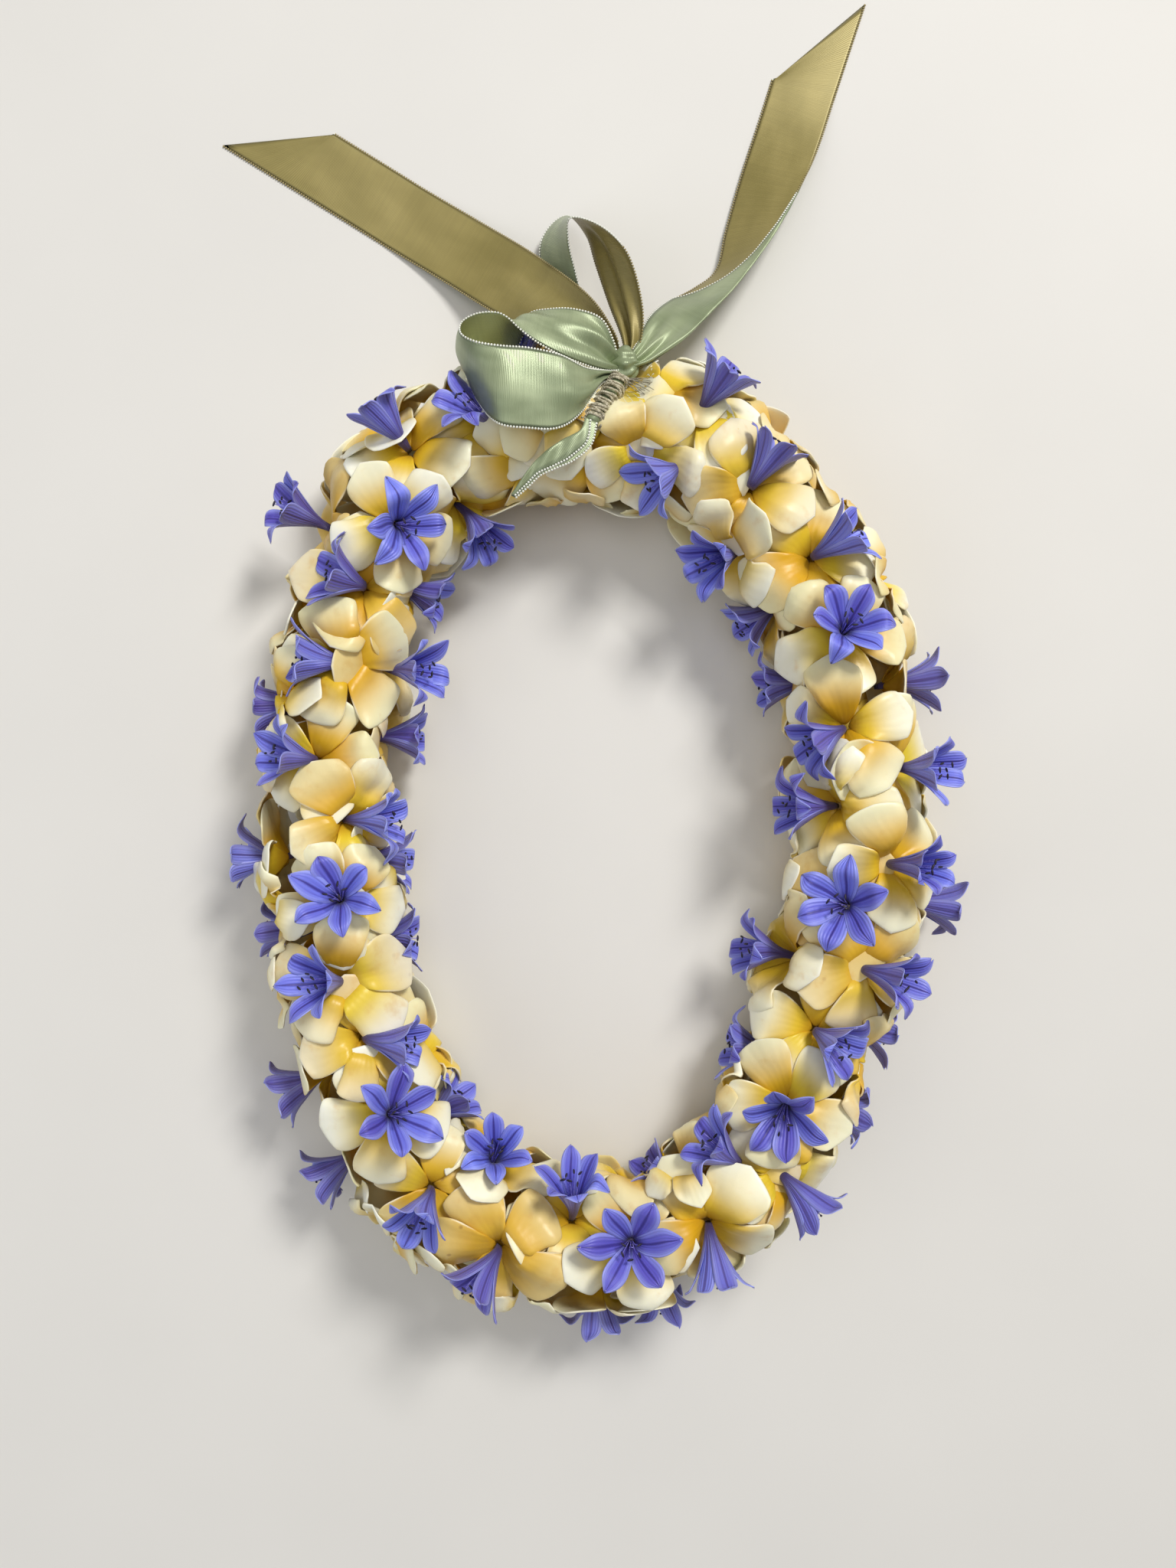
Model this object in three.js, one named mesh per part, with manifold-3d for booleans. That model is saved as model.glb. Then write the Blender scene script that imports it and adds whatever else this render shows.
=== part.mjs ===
// Fresh flower lei with a satin ribbon bow, lying on a table.
// Millimetres, +Z up, table top at z 0, the bow toward +Y.
import * as THREE from 'three';
import { mergeVertices } from 'three/addons/utils/BufferGeometryUtils.js';
import Module from 'manifold-3d';

// Reading of the picture: scale on the table, middle of the frame, height of the eye.
const MM_PER_PX = 0.428;
const MIDDLE_PX = [768, 1024];
const EYE_Z = 680;

// Garland sizes.
const STRING_Z = 36;
const STRING_R = 1.1;
const STRING_SIDES = 4;
const STRING_STEPS = 40;
const CORE_R = 12.5;
const STEPS_PER_GROUP = 2;
const CUP_REACH = 20;
const THROAT_REACH = 31;
const PETAL_REACH = 31.5;
const PETALS = 5;
const LOW_PETALS = 4;
const TEPALS = 6;
const SUNK_TEPALS = 5;
const LOW_ROLL = 1.75;

// A cream bloom: radius and height above the string of each part of its skin.
const BLOOM = {
  rootHeight: 3,
  underRadius: 12,
  underHeight: 28.5,
  overRadius: 11,
  overHeight: 32.2,
  notchRadius: 11,
  notchHeight: 29,
  shoulderShares: [0.76, 0.74],
  shoulderHeights: [36, 32],
  shoulderSpread: 0.34,
  shoulderCurl: 0.4,
  tipHeight: 35,
  crossBend: 0.0095,
  alongBend: 0.002,
  dipThroat: 5,
  dipPetal: 10,
};

// A floret: its length, the share of it to the notch and shoulder of a tepal, how it stands in its bloom.
const FLORET = {
  length: 27,
  closedRadius: 10.5,
  openRadius: 12,
  closedHeight: 34,
  openHeight: 16,
  baseRadius: 3.2,
  baseHeight: 1,
  centreHeight: 5,
  notchRadius: 0.42,
  notchHeight: 0.44,
  shoulder: 0.84,
  halfTepal: 0.3,
  blunt: 0.92,
  halfBlunt: 0.36,
  seatGap: 0.42,
  sunkReach: 10,
  mostSink: [0, 5, 25],
  mouthToTip: 2,
  mouthRise: 6,
  lowRise: 0.1,
  lowOutward: 14,
  roomSides: 5,
};

// Ribbon and fit sizes.
const RIBBON_T = 0.9;
const GAP = 0.36;
const SIMPLIFY = 0.04;
const SEED = 20417;

// Low flowers are pressed flat on the table below this height.
const PRESS_FROM = 6;
const PRESS_ROOM = 9.5;

// Colours.
const CREAM = 0xf1e4bd;
const VIOLET = 0x6a68c4;
const SAGE = 0x9fae8c;
const OLIVE = 0x978b4c;
const TWINE = 0xb9ae92;
const STRING = 0xe9e4d4;

// String line, clockwise seen from above, starting under the bow: x, y.
const ROUTE = [
  [3, 187], [53, 181], [94, 144], [126, 95], [137, 42],
  [145, -19], [139, -75], [116, -140], [84, -200], [37, -234],
  [-15, -241], [-68, -225], [-102, -176], [-128, -116], [-137, -51],
  [-139, 10], [-131, 70], [-112, 127], [-80, 171], [-40, 189],
];

// Florets seen in the picture, in string order: throat px, mouth px, how open 0 to 1,
// and 0 for one that stands free, 1 for a low one, 2 for a low one sunk among the petals.
const SEEN = [
  [912, 532, 952, 475, 0.45, 0], [892, 610, 825, 645, 0.7, 0], [978, 635, 1025, 565, 0.4, 0],
  [1062, 725, 1120, 688, 0.45, 0], [962, 722, 915, 745, 0.45, 0], [1005, 790, 960, 820, 0.5, 2],
  [1101, 830, 1112, 808, 0.9, 0], [1175, 895, 1205, 900, 0.5, 1], [1020, 895, 990, 897, 0.4, 2],
  [1100, 945, 1040, 975, 0.6, 0], [1177, 995, 1232, 1000, 0.45, 0], [1082, 1058, 1015, 1060, 0.5, 0],
  [1166, 1125, 1205, 1125, 0.15, 0], [1222, 1178, 1250, 1180, 0.3, 2], [1105, 1186, 1080, 1180, 1, 0],
  [1027, 1245, 960, 1230, 0.55, 0], [1127, 1272, 1180, 1285, 0.3, 0], [1062, 1350, 1110, 1380, 0.7, 0],
  [982, 1362, 947, 1360, 0.5, 2], [1140, 1350, 1160, 1355, 0.4, 2], [1110, 1460, 1127, 1457, 0.4, 2],
  [1025, 1445, 1010, 1475, 0.95, 0], [962, 1522, 900, 1480, 0.6, 0], [872, 1525, 842, 1510, 0.4, 2],
  [1020, 1540, 1072, 1600, 0.4, 0], [932, 1602, 945, 1675, 0.35, 0], [827, 1620, 827, 1617, 1, 0],
  [775, 1700, 777, 1730, 0.4, 2], [867, 1695, 870, 1711, 0.3, 2], [742, 1582, 740, 1525, 0.45, 0],
  [645, 1530, 655, 1487, 0.4, 0], [597, 1442, 612, 1425, 0.4, 2], [647, 1632, 607, 1687, 0.45, 0],
  [562, 1552, 540, 1600, 0.6, 0], [462, 1517, 415, 1555, 0.45, 1], [505, 1450, 537, 1437, 0.95, 0],
  [419, 1407, 372, 1432, 0.45, 1], [475, 1350, 542, 1360, 0.4, 0], [447, 1285, 400, 1280, 0.6, 0],
  [512, 1222, 547, 1225, 0.5, 2], [352, 1215, 346, 1216, 0.3, 2], [445, 1172, 442, 1155, 0.95, 0],
  [512, 1115, 540, 1122, 0.4, 2], [357, 1115, 315, 1110, 0.55, 1], [457, 1072, 525, 1070, 0.4, 0],
  [410, 995, 350, 985, 0.6, 0], [512, 970, 555, 967, 0.5, 2], [355, 915, 337, 925, 0.4, 2],
  [512, 870, 570, 872, 0.4, 0], [449, 867, 377, 860, 0.5, 0], [477, 772, 415, 750, 0.6, 0],
  [560, 780, 582, 787, 0.4, 2], [522, 677, 555, 690, 0.9, 0], [610, 675, 642, 720, 0.45, 0],
  [415, 680, 365, 660, 0.5, 0], [527, 580, 475, 515, 0.5, 0], [637, 550, 605, 522, 0.5, 0],
  [686, 478, 690, 418, 0.4, 0],
];

// Cream blooms seen without a floret, throat px.
const BARE = [[862, 516], [838, 590], [765, 595], [690, 600], [715, 530]];

// Blooms under the garland: how many, how far they swing from straight down, their size and drop.
const UNDER_COUNT = 20;
const UNDER_SWING = 0.5;
const UNDER_SIZE = 1.28;
const UNDER_DROP = 2.5;

// Ribbon pieces as seen: for each station the px and height of one edge, then of the other.
const TAIL_LEFT = [
  [291, 190, 0.45, 437, 176, 0.45], [400, 257, 0.45, 446, 181, 0.45], [500, 319, 0.45, 546, 243, 0.45],
  [580, 367, 6, 626, 290, 5], [650, 410, 20, 696, 332, 20], [722, 446, 36, 766, 384, 42],
  [784, 470, 46, 800, 430, 50], [806, 482, 50, 812, 462, 51],
];
const TAIL_RIGHT = [
  [1132, 3, 0.45, 1009, 106, 0.45], [1092, 125, 0.45, 1008, 108, 0.45], [1070, 192, 6, 990, 165, 1.2],
  [1047, 246, 14, 968, 232, 2], [1022, 292, 20, 948, 303, 3], [1000, 325, 26, 936, 352, 6],
  [962, 376, 34, 908, 376, 10], [925, 416, 42, 872, 396, 20], [890, 450, 48, 846, 420, 34],
  [852, 474, 51, 832, 450, 44], [824, 484, 50, 820, 470, 48],
];
const LOOP_LEFT = [
  [812, 484, 54, 808, 496, 52], [786, 478, 66, 784, 500, 64], [764, 472, 80, 756, 541, 79],
  [732, 462, 87, 729, 558, 85], [692, 455, 90, 689, 558, 88], [654, 452, 92, 649, 551, 87],
  [622, 447, 92, 622, 520, 70], [602, 436, 90, 606, 480, 57], [603, 422, 84, 610, 470, 50],
  [622, 411, 76, 626, 480, 49], [654, 408, 72, 656, 498, 60], [708, 407, 68, 706, 505, 62],
  [756, 407, 62, 750, 498, 60], [790, 432, 56, 786, 486, 56], [806, 466, 52, 806, 484, 50],
];
const LOOP_UPPER = [
  [806, 466, 36, 812, 476, 42], [764, 440, 18, 790, 432, 30], [722, 396, 12, 764, 398, 28],
  [707, 333, 12, 748, 350, 34], [718, 298, 16, 744, 318, 42], [746, 282, 22, 750, 306, 48],
  [786, 298, 22, 762, 322, 48], [818, 330, 23, 774, 345, 50], [837, 396, 28, 796, 400, 54],
  [838, 440, 36, 812, 440, 54], [826, 468, 43, 818, 474, 50],
];
const RIBBON_END = [
  [776, 552, 78, 764, 545, 79], [758, 581, 79, 744, 568, 80], [733, 600, 79, 720, 588, 80],
  [709, 621, 78, 696, 611, 79], [688, 640, 76, 677, 633, 77], [669, 655, 74, 664, 649, 74],
];
const RIBBON_END_T = 1.6;
const KNOT_PX = [815, 478, 50];
const KNOT_RADII = [8.5, 9.5, 8];
const WRAP_PX = [[811, 494, 58], [771, 553, 76]];
const WRAP_R = 4.2;
const WRAP_TURNS = 4;
const FRAYED_PX = [[846, 514, 66], [852, 500, 60]];

const wasm = await Module();
wasm.setup();

let state = SEED;
function draw(low, high) {
  state = (state * 48271) % 2147483647;
  return low + (high - low) * (state / 2147483647);
}

// Geometry helpers.
function solidOf(geometry) {
  geometry.deleteAttribute('normal');
  geometry.deleteAttribute('uv');
  const merged = mergeVertices(geometry, 1e-4);
  const mesh = new wasm.Mesh({
    numProp: 3,
    vertProperties: new Float32Array(merged.attributes.position.array),
    triVerts: new Uint32Array(merged.index.array),
  });
  return new wasm.Manifold(mesh);
}

function geometryOf(points, faces) {
  const geometry = new THREE.BufferGeometry();
  const flat = points.flatMap((p) => [p.x, p.y, p.z]);
  geometry.setAttribute('position', new THREE.Float32BufferAttribute(flat, 3));
  geometry.setIndex(faces.flat());
  return geometry;
}

function press(point) {
  if (point.z >= PRESS_FROM) return point;
  const depth = (point.z - PRESS_FROM) / PRESS_ROOM;
  return new THREE.Vector3(point.x, point.y, PRESS_FROM - PRESS_ROOM * (1 - Math.exp(depth)));
}

function aboveTable(solid) {
  return solid.trimByPlane([0, 0, 1], 0);
}

function largest(solid) {
  const parts = solid.decompose();
  return parts.reduce((best, part) => (part.volume() > best.volume() ? part : best));
}

function near(a, b) {
  const p = a.boundingBox();
  const q = b.boundingBox();
  return [0, 1, 2].every((i) => p.min[i] < q.max[i] && q.min[i] < p.max[i]);
}

function clearOf(solid, others) {
  const close = others.filter((other) => near(solid, other));
  return close.length ? solid.subtract(wasm.Manifold.union(close)) : solid;
}

// String line.
function onRoute(u) {
  const count = ROUTE.length;
  const first = Math.floor(u);
  const t = u - first;
  const [a, b, c, d] = [-1, 0, 1, 2].map((i) => ROUTE[(((first + i) % count) + count) % count]);
  const mix = (i) => 0.5 * (2 * b[i] + (c[i] - a[i]) * t
    + (2 * a[i] - 5 * b[i] + 4 * c[i] - d[i]) * t * t
    + (3 * b[i] - a[i] - 3 * c[i] + d[i]) * t * t * t);
  return new THREE.Vector3(mix(0), mix(1), STRING_Z);
}

function routeFrame(u) {
  const along = onRoute(u + 0.001).sub(onRoute(u - 0.001)).normalize();
  const inward = new THREE.Vector3(along.y, -along.x, 0);
  return { at: onRoute(u), along, inward };
}

class RoutePath extends THREE.Curve {
  constructor(start, end) {
    super();
    this.start = start;
    this.end = end;
  }

  getPoint(t) {
    return onRoute(this.start + (this.end - this.start) * t);
  }

  getPointAt(t) {
    return this.getPoint(t);
  }
}

function rod(start, end, radius, sides, steps, bore = 0) {
  const ring = (r) => Array.from({ length: sides }, (_, i) => {
    const angle = (2 * Math.PI * (i + 0.5)) / sides;
    return new THREE.Vector2(r * Math.cos(angle), r * Math.sin(angle));
  });
  const shape = new THREE.Shape(ring(radius));
  if (bore) shape.holes.push(new THREE.Path(ring(bore).reverse()));
  const path = new RoutePath(start, end);
  return solidOf(new THREE.ExtrudeGeometry(shape, { steps, extrudePath: path, bevelEnabled: false }));
}

// From picture to table.
function planOf(px, z) {
  const scale = MM_PER_PX * (1 - z / EYE_Z);
  return new THREE.Vector2((px[0] - MIDDLE_PX[0]) * scale, (MIDDLE_PX[1] - px[1]) * scale);
}

function nearestOnRoute(plan) {
  let best = { gap: Infinity, u: 0 };
  for (let i = 0; i < 800; i += 1) {
    const u = (ROUTE.length * i) / 800;
    const at = onRoute(u);
    const gap = Math.hypot(at.x - plan.x, at.y - plan.y);
    if (gap < best.gap) best = { gap, u };
  }
  return best.u;
}

function seat(px, low) {
  let z = low ? STRING_Z : STRING_Z + THROAT_REACH;
  let u = 0;
  let roll = 0;
  for (let round = 0; round < 5; round += 1) {
    const plan = planOf(px, z);
    u = nearestOnRoute(plan);
    const { at, inward } = routeFrame(u);
    const across = (plan.x - at.x) * inward.x + (plan.y - at.y) * inward.y;
    roll = Math.asin(Math.max(-1, Math.min(1, across / THROAT_REACH)));
    if (low) roll = Math.sign(roll) * Math.max(Math.abs(roll), LOW_ROLL);
    z = STRING_Z + THROAT_REACH * Math.cos(roll);
  }
  return { u, roll };
}

function readFloret([throatX, throatY, mouthX, mouthY, open, low]) {
  const bloom = seat([throatX, throatY], low);
  const throat = bloomFrame(bloom).throat;
  const mouth = planOf([mouthX, mouthY], throat.z + (low ? 0 : FLORET.mouthRise));
  const aim = new THREE.Vector3(mouth.x - throat.x, mouth.y - throat.y, 0);
  const reach = Math.min(aim.length(), FLORET.length * 0.97);
  aim.setLength(reach);
  aim.z = Math.sqrt(FLORET.length ** 2 - reach ** 2) * (low ? FLORET.lowRise : 1);
  if (low) aim.addScaledVector(bloomFrame(bloom).axis, FLORET.lowOutward);
  const string = onRoute(bloom.u);
  const seenReach = Math.hypot(mouth.x - string.x, mouth.y - string.y) + FLORET.mouthToTip;
  const beyond = Math.max(0, THROAT_REACH + floretHeight(open) - seenReach);
  const sink = Math.min(beyond, FLORET.mostSink[low]);
  return { ...bloom, aim: aim.normalize(), open, low, sink };
}

function floretHeight(open) {
  return FLORET.closedHeight - FLORET.openHeight * open;
}

function bloomFrame({ u, roll, lean = 0, sink = 0 }) {
  const { at, along, inward } = routeFrame(u);
  const up = new THREE.Vector3(0, 0, 1);
  const outward = inward.clone().multiplyScalar(Math.sin(roll)).addScaledVector(up, Math.cos(roll));
  const axis = outward.multiplyScalar(Math.cos(lean)).addScaledVector(along, Math.sin(lean));
  const side = axis.clone().cross(along).normalize();
  const fore = axis.clone().cross(side).normalize();
  return { at, axis, side, fore, throat: at.clone().addScaledVector(axis, THROAT_REACH - sink) };
}

function tableOfBlooms() {
  const blooms = SEEN.map(readFloret);
  for (const px of BARE) blooms.push({ ...seat(px, 0), aim: null, open: 0, low: 0 });
  for (let i = 0; i < UNDER_COUNT; i += 1) {
    const u = (ROUTE.length * (i + 0.5 + draw(-0.2, 0.2))) / UNDER_COUNT;
    const roll = Math.PI + UNDER_SWING * (i % 2 ? draw(0.4, 1) : draw(-1, -0.4));
    blooms.push({ u, roll, aim: null, open: 0, low: 1, under: true });
  }
  for (const bloom of blooms) {
    const petals = bloom.low ? LOW_PETALS : PETALS;
    bloom.lean = draw(-0.1, 0.1);
    bloom.twist = draw(0, 2 * Math.PI);
    bloom.size = draw(0.94, 1.06) * (bloom.under ? UNDER_SIZE : 1);
    bloom.petals = Array.from({ length: petals }, () => [draw(-0.1, 0.1), draw(0.9, 1.05), draw(-3.5, 2.5)]);
    bloom.tepals = Array.from({ length: TEPALS }, () => [draw(-0.12, 0.12), draw(0.88, 1.06), draw(-2, 2)]);
  }
  return blooms;
}

// A star of blades round an axis: one closed skin, sharp at the rim, or with a thick rim when grown.
function star(spec, grow = 0) {
  const { root, under, rim, over, centre } = spec;
  const lower = rim.map((r) => r.low ?? r);
  const upper = rim.map((r) => r.high ?? r);
  const points = [...root, ...under, ...lower, ...upper, ...over, centre];
  const rootAt = 0;
  const underAt = root.length;
  const lowAt = underAt + under.length;
  const highAt = grow ? lowAt + rim.length : lowAt;
  const overAt = lowAt + 2 * rim.length;
  const centreAt = overAt + over.length;
  const faces = [];
  const blades = under.length;
  const perBlade = rim.length / blades;
  for (let i = 0; i < blades; i += 1) {
    const next = (i + 1) % blades;
    for (let j = 0; j < perBlade; j += 1) {
      const from = i * perBlade + j;
      const to = (from + 1) % rim.length;
      faces.push([underAt + i, lowAt + to, lowAt + from]);
      faces.push([over.length ? overAt + i : centreAt, highAt + from, highAt + to]);
      if (!grow) continue;
      faces.push([lowAt + from, lowAt + to, highAt + to]);
      faces.push([lowAt + from, highAt + to, highAt + from]);
    }
    const notch = (next * perBlade) % rim.length;
    faces.push([underAt + i, underAt + next, lowAt + notch]);
    if (over.length) {
      faces.push([overAt + i, highAt + notch, overAt + next]);
      faces.push([overAt + i, overAt + next, centreAt]);
    }
    const rootFrom = rootAt + Math.floor((i * root.length) / blades);
    const rootTo = rootAt + (Math.floor(((i + 1) * root.length) / blades) % root.length);
    faces.push([underAt + i, rootFrom, underAt + next]);
    if (rootTo !== rootFrom) faces.push([rootFrom, rootTo, underAt + next]);
  }
  for (let i = 1; i + 1 < root.length; i += 1) faces.push([rootAt, rootAt + i + 1, rootAt + i]);
  return solidOf(geometryOf(points.map(press), faces.filter((f) => new Set(f).size === 3)));
}

function creamBloom(bloom, grow) {
  const { at, axis, side, fore } = bloomFrame(bloom);
  const lying = bloom.aim ? [bloom.aim.dot(side), bloom.aim.dot(fore)] : [0, 0];
  const place = (angle, radius, height, dip = 0) => {
    const [c, s] = [Math.cos(angle), Math.sin(angle)];
    const bend = (BLOOM.crossBend * c * c + BLOOM.alongBend * s * s) * radius * radius;
    const lowered = dip * Math.max(0, c * lying[0] + s * lying[1]);
    return at.clone().addScaledVector(side, radius * c).addScaledVector(fore, radius * s)
      .addScaledVector(axis, height - bend - lowered);
  };
  const drop = bloom.under ? UNDER_DROP : 0;
  const rim = [];
  const under = [];
  const over = [];
  const step = (2 * Math.PI) / bloom.petals.length;
  const spread = step * BLOOM.shoulderSpread;
  const [leftShare, rightShare] = BLOOM.shoulderShares;
  const [leftHeight, rightHeight] = BLOOM.shoulderHeights.map((h) => h + drop);
  const rimPoint = (angle, radius, height, dip) => ({
    low: place(angle, radius + grow, height - grow, dip),
    high: place(angle, radius + grow, height + grow, dip),
  });
  bloom.petals.forEach(([turn, reach, curl], i) => {
    const middle = bloom.twist + i * step;
    const long = PETAL_REACH * bloom.size * reach;
    const lift = curl * BLOOM.shoulderCurl;
    under.push(place(middle, BLOOM.underRadius + grow, BLOOM.underHeight - grow * 1.2, BLOOM.dipThroat));
    over.push(place(middle, BLOOM.overRadius - grow, BLOOM.overHeight + grow * 1.2, BLOOM.dipThroat));
    rim.push(rimPoint(middle - step / 2, BLOOM.notchRadius, BLOOM.notchHeight, BLOOM.dipThroat));
    rim.push(rimPoint(middle + turn - spread, long * leftShare, leftHeight + lift, BLOOM.dipPetal));
    rim.push(rimPoint(middle + turn, long, BLOOM.tipHeight + drop + curl, BLOOM.dipPetal));
    rim.push(rimPoint(middle + turn + spread, long * rightShare, rightHeight + lift, BLOOM.dipPetal));
  });
  const root = [place(0, 0, BLOOM.rootHeight - grow)];
  return star({ root, under, rim, over, centre: place(0, 0, CUP_REACH + grow) }, grow);
}

function floretFrame(bloom) {
  const { at, axis, side: across, throat } = bloomFrame(bloom);
  const aim = bloom.aim;
  const side = aim.clone().cross(axis);
  if (side.length() < 0.05) side.copy(across);
  side.normalize();
  const fore = aim.clone().cross(side).normalize();
  const tubeFore = axis.clone().cross(side).normalize();
  const place = (angle, radius, height) => throat.clone().addScaledVector(aim, height)
    .addScaledVector(side, radius * Math.cos(angle)).addScaledVector(fore, radius * Math.sin(angle));
  const onTube = (angle, radius, height) => at.clone().addScaledVector(axis, height)
    .addScaledVector(side, radius * Math.cos(angle)).addScaledVector(tubeFore, radius * Math.sin(angle));
  const tipRadius = (FLORET.closedRadius + FLORET.openRadius * bloom.open) * bloom.size;
  const tipHeight = floretHeight(bloom.open);
  return { place, onTube, tipRadius, tipHeight };
}

function floret(bloom) {
  const { place, onTube, tipRadius, tipHeight } = floretFrame(bloom);
  const sunk = bloom.low === 2;
  const tepals = bloom.tepals.slice(0, sunk ? SUNK_TEPALS : TEPALS);
  const step = (2 * Math.PI) / tepals.length;
  const half = sunk ? FLORET.halfBlunt : FLORET.halfTepal;
  const rim = [];
  const under = [];
  tepals.forEach(([turn, reach, curl], i) => {
    const middle = bloom.twist + i * step;
    const rimPoint = (side, share) => (
      place(middle + turn + side * half, tipRadius * reach * share, tipHeight * share + curl));
    under.push(place(middle, FLORET.baseRadius, FLORET.baseHeight));
    rim.push(place(middle - step / 2, FLORET.notchRadius * tipRadius, FLORET.notchHeight * tipHeight));
    if (sunk) rim.push(rimPoint(-1, FLORET.blunt), rimPoint(1, FLORET.blunt));
    else rim.push(rimPoint(-1, FLORET.shoulder), rimPoint(0, 1), rimPoint(1, FLORET.shoulder));
  });
  const root = [onTube(0, 0, sunk ? FLORET.sunkReach : CUP_REACH + FLORET.seatGap)];
  return star({ root, under, rim, over: [], centre: place(0, 0, FLORET.centreHeight) });
}

// The room that a floret needs: a plain funnel with few sides round it.
function floretRoom(bloom) {
  const { place, onTube, tipRadius, tipHeight } = floretFrame(bloom);
  const sides = FLORET.roomSides;
  const wide = 1 / Math.cos(Math.PI / sides);
  const ring = (at, radius, height) => Array.from({ length: sides }, (_, i) => (
    at(bloom.twist + (i * 2 * Math.PI) / sides, (radius + GAP) * wide, height)));
  const rings = [
    ring(onTube, 0.8, CUP_REACH + 2.4),
    ring(place, FLORET.baseRadius, FLORET.baseHeight / 2),
    ring(place, tipRadius * 1.06, tipHeight - 2),
    ring(place, tipRadius * 1.06, tipHeight + 2.4),
  ];
  const faces = [];
  rings.slice(1).forEach((_, r) => {
    for (let i = 0; i < sides; i += 1) {
      const [a, b] = [r * sides + i, r * sides + ((i + 1) % sides)];
      faces.push([a, b, b + sides], [a, b + sides, a + sides]);
    }
  });
  const last = (rings.length - 1) * sides;
  for (let i = 1; i + 1 < sides; i += 1) faces.push([0, i + 1, i], [last, last + i, last + i + 1]);
  return solidOf(geometryOf(rings.flat().map(press), faces));
}

// Ribbon, knot and twine.
function pointOf([x, y, z]) {
  const plan = planOf([x, y], z);
  return new THREE.Vector3(plan.x, plan.y, z);
}

function strip(stations, thickness, grow) {
  const edges = stations.map((row) => [pointOf(row.slice(0, 3)), pointOf(row.slice(3))]);
  for (const [a, b] of edges) {
    const outward = a.clone().sub(b).setLength(grow * 1.2);
    a.add(outward);
    b.sub(outward);
  }
  const points = [];
  edges.forEach(([a, b], i) => {
    const before = edges[Math.max(i - 1, 0)];
    const after = edges[Math.min(i + 1, edges.length - 1)];
    const along = after[0].clone().add(after[1]).sub(before[0]).sub(before[1]);
    const normal = along.cross(b.clone().sub(a)).setLength(thickness / 2 + grow);
    points.push(a.clone().sub(normal), b.clone().sub(normal), b.clone().add(normal), a.clone().add(normal));
  });
  const faces = [[0, 2, 1], [0, 3, 2]];
  for (let i = 0; i + 1 < edges.length; i += 1) {
    const [p, q] = [4 * i, 4 * i + 4];
    faces.push([p, p + 1, q + 1], [p, q + 1, q], [p + 3, q + 3, p + 2], [p + 2, q + 3, q + 2]);
    faces.push([p + 1, q + 2, q + 1], [p + 1, p + 2, q + 2], [p, q + 3, p + 3], [p, q, q + 3]);
  }
  const last = 4 * (edges.length - 1);
  faces.push([last, last + 1, last + 2], [last, last + 2, last + 3]);
  return solidOf(geometryOf(points, faces));
}

function knot(grow) {
  const lump = new THREE.IcosahedronGeometry(1, 1);
  const centre = pointOf(KNOT_PX);
  lump.scale(...KNOT_RADII.map((r) => r + grow)).translate(centre.x, centre.y, centre.z);
  return solidOf(lump);
}

function between(a, b, radius, sides) {
  const ring = Array.from({ length: sides }, (_, i) => {
    const angle = (2 * Math.PI * i) / sides;
    return new THREE.Vector2(radius * Math.cos(angle), radius * Math.sin(angle));
  });
  const path = new THREE.LineCurve3(a, b);
  const options = { steps: 1, extrudePath: path, bevelEnabled: false };
  return solidOf(new THREE.ExtrudeGeometry(new THREE.Shape(ring), options));
}

function twineWrap(grow) {
  const [from, to] = WRAP_PX.map(pointOf);
  const axis = to.clone().sub(from);
  const length = axis.length();
  const profile = [new THREE.Vector2(0, -grow)];
  for (let i = 0; i <= WRAP_TURNS * 2; i += 1) {
    const radius = WRAP_R + (i % 2 ? 0.5 : -0.5) + grow;
    const height = (length * i) / (WRAP_TURNS * 2);
    profile.push(new THREE.Vector2(radius, i ? height : -grow));
  }
  profile[profile.length - 1].y += grow;
  profile.push(new THREE.Vector2(0, length + grow));
  const turned = new THREE.LatheGeometry(profile, 6);
  const stand = new THREE.Quaternion().setFromUnitVectors(new THREE.Vector3(0, 1, 0), axis.normalize());
  turned.applyQuaternion(stand).translate(from.x, from.y, from.z);
  const frayed = FRAYED_PX.map((px) => between(from, pointOf(px), 0.9 + grow, 4));
  return wasm.Manifold.union([solidOf(turned), ...frayed]);
}

// A stretch of the garland: its cream blooms, with the low florets that are sunk into them.
function stretch(k, blooms, grow) {
  const [from, to] = [k * STEPS_PER_GROUP, (k + 1) * STEPS_PER_GROUP];
  const mine = blooms.filter((b) => b.u >= from && b.u < to);
  const edge = 0.006 - grow / 60;
  const core = rod(from + edge, to - edge, CORE_R + grow, 5, 4);
  const creams = mine.map((b) => creamBloom(b, grow));
  const sunk = mine.filter((b) => b.aim && b.low === 2).map((b) => (grow ? floretRoom(b) : floret(b)));
  return aboveTable(wasm.Manifold.union([core, ...creams, ...sunk]));
}

const blooms = tableOfBlooms();
const group = new THREE.Group();
group.name = 'flower_lei';

function geometryFrom(solid) {
  const mesh = solid.getMesh();
  const geometry = new THREE.BufferGeometry();
  geometry.setAttribute('position', new THREE.Float32BufferAttribute(mesh.vertProperties, 3));
  geometry.setIndex(Array.from(mesh.triVerts));
  return geometry;
}

// Drops the scraps that a cut leaves, then again those that single precision splits off.
function settled(solid) {
  let kept = largest(solid.simplify(SIMPLIFY));
  for (let round = 0; round < 3; round += 1) kept = largest(solidOf(geometryFrom(kept)));
  return kept;
}

function addNode(name, solid, colour, roughness, metalness = 0) {
  const geometry = geometryFrom(solid);
  geometry.computeVertexNormals();
  const material = new THREE.MeshStandardMaterial({ color: colour, roughness, metalness });
  const node = new THREE.Mesh(geometry, material);
  node.name = name;
  group.add(node);
}

const pad = (k) => String(k + 1).padStart(2, '0');

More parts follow.
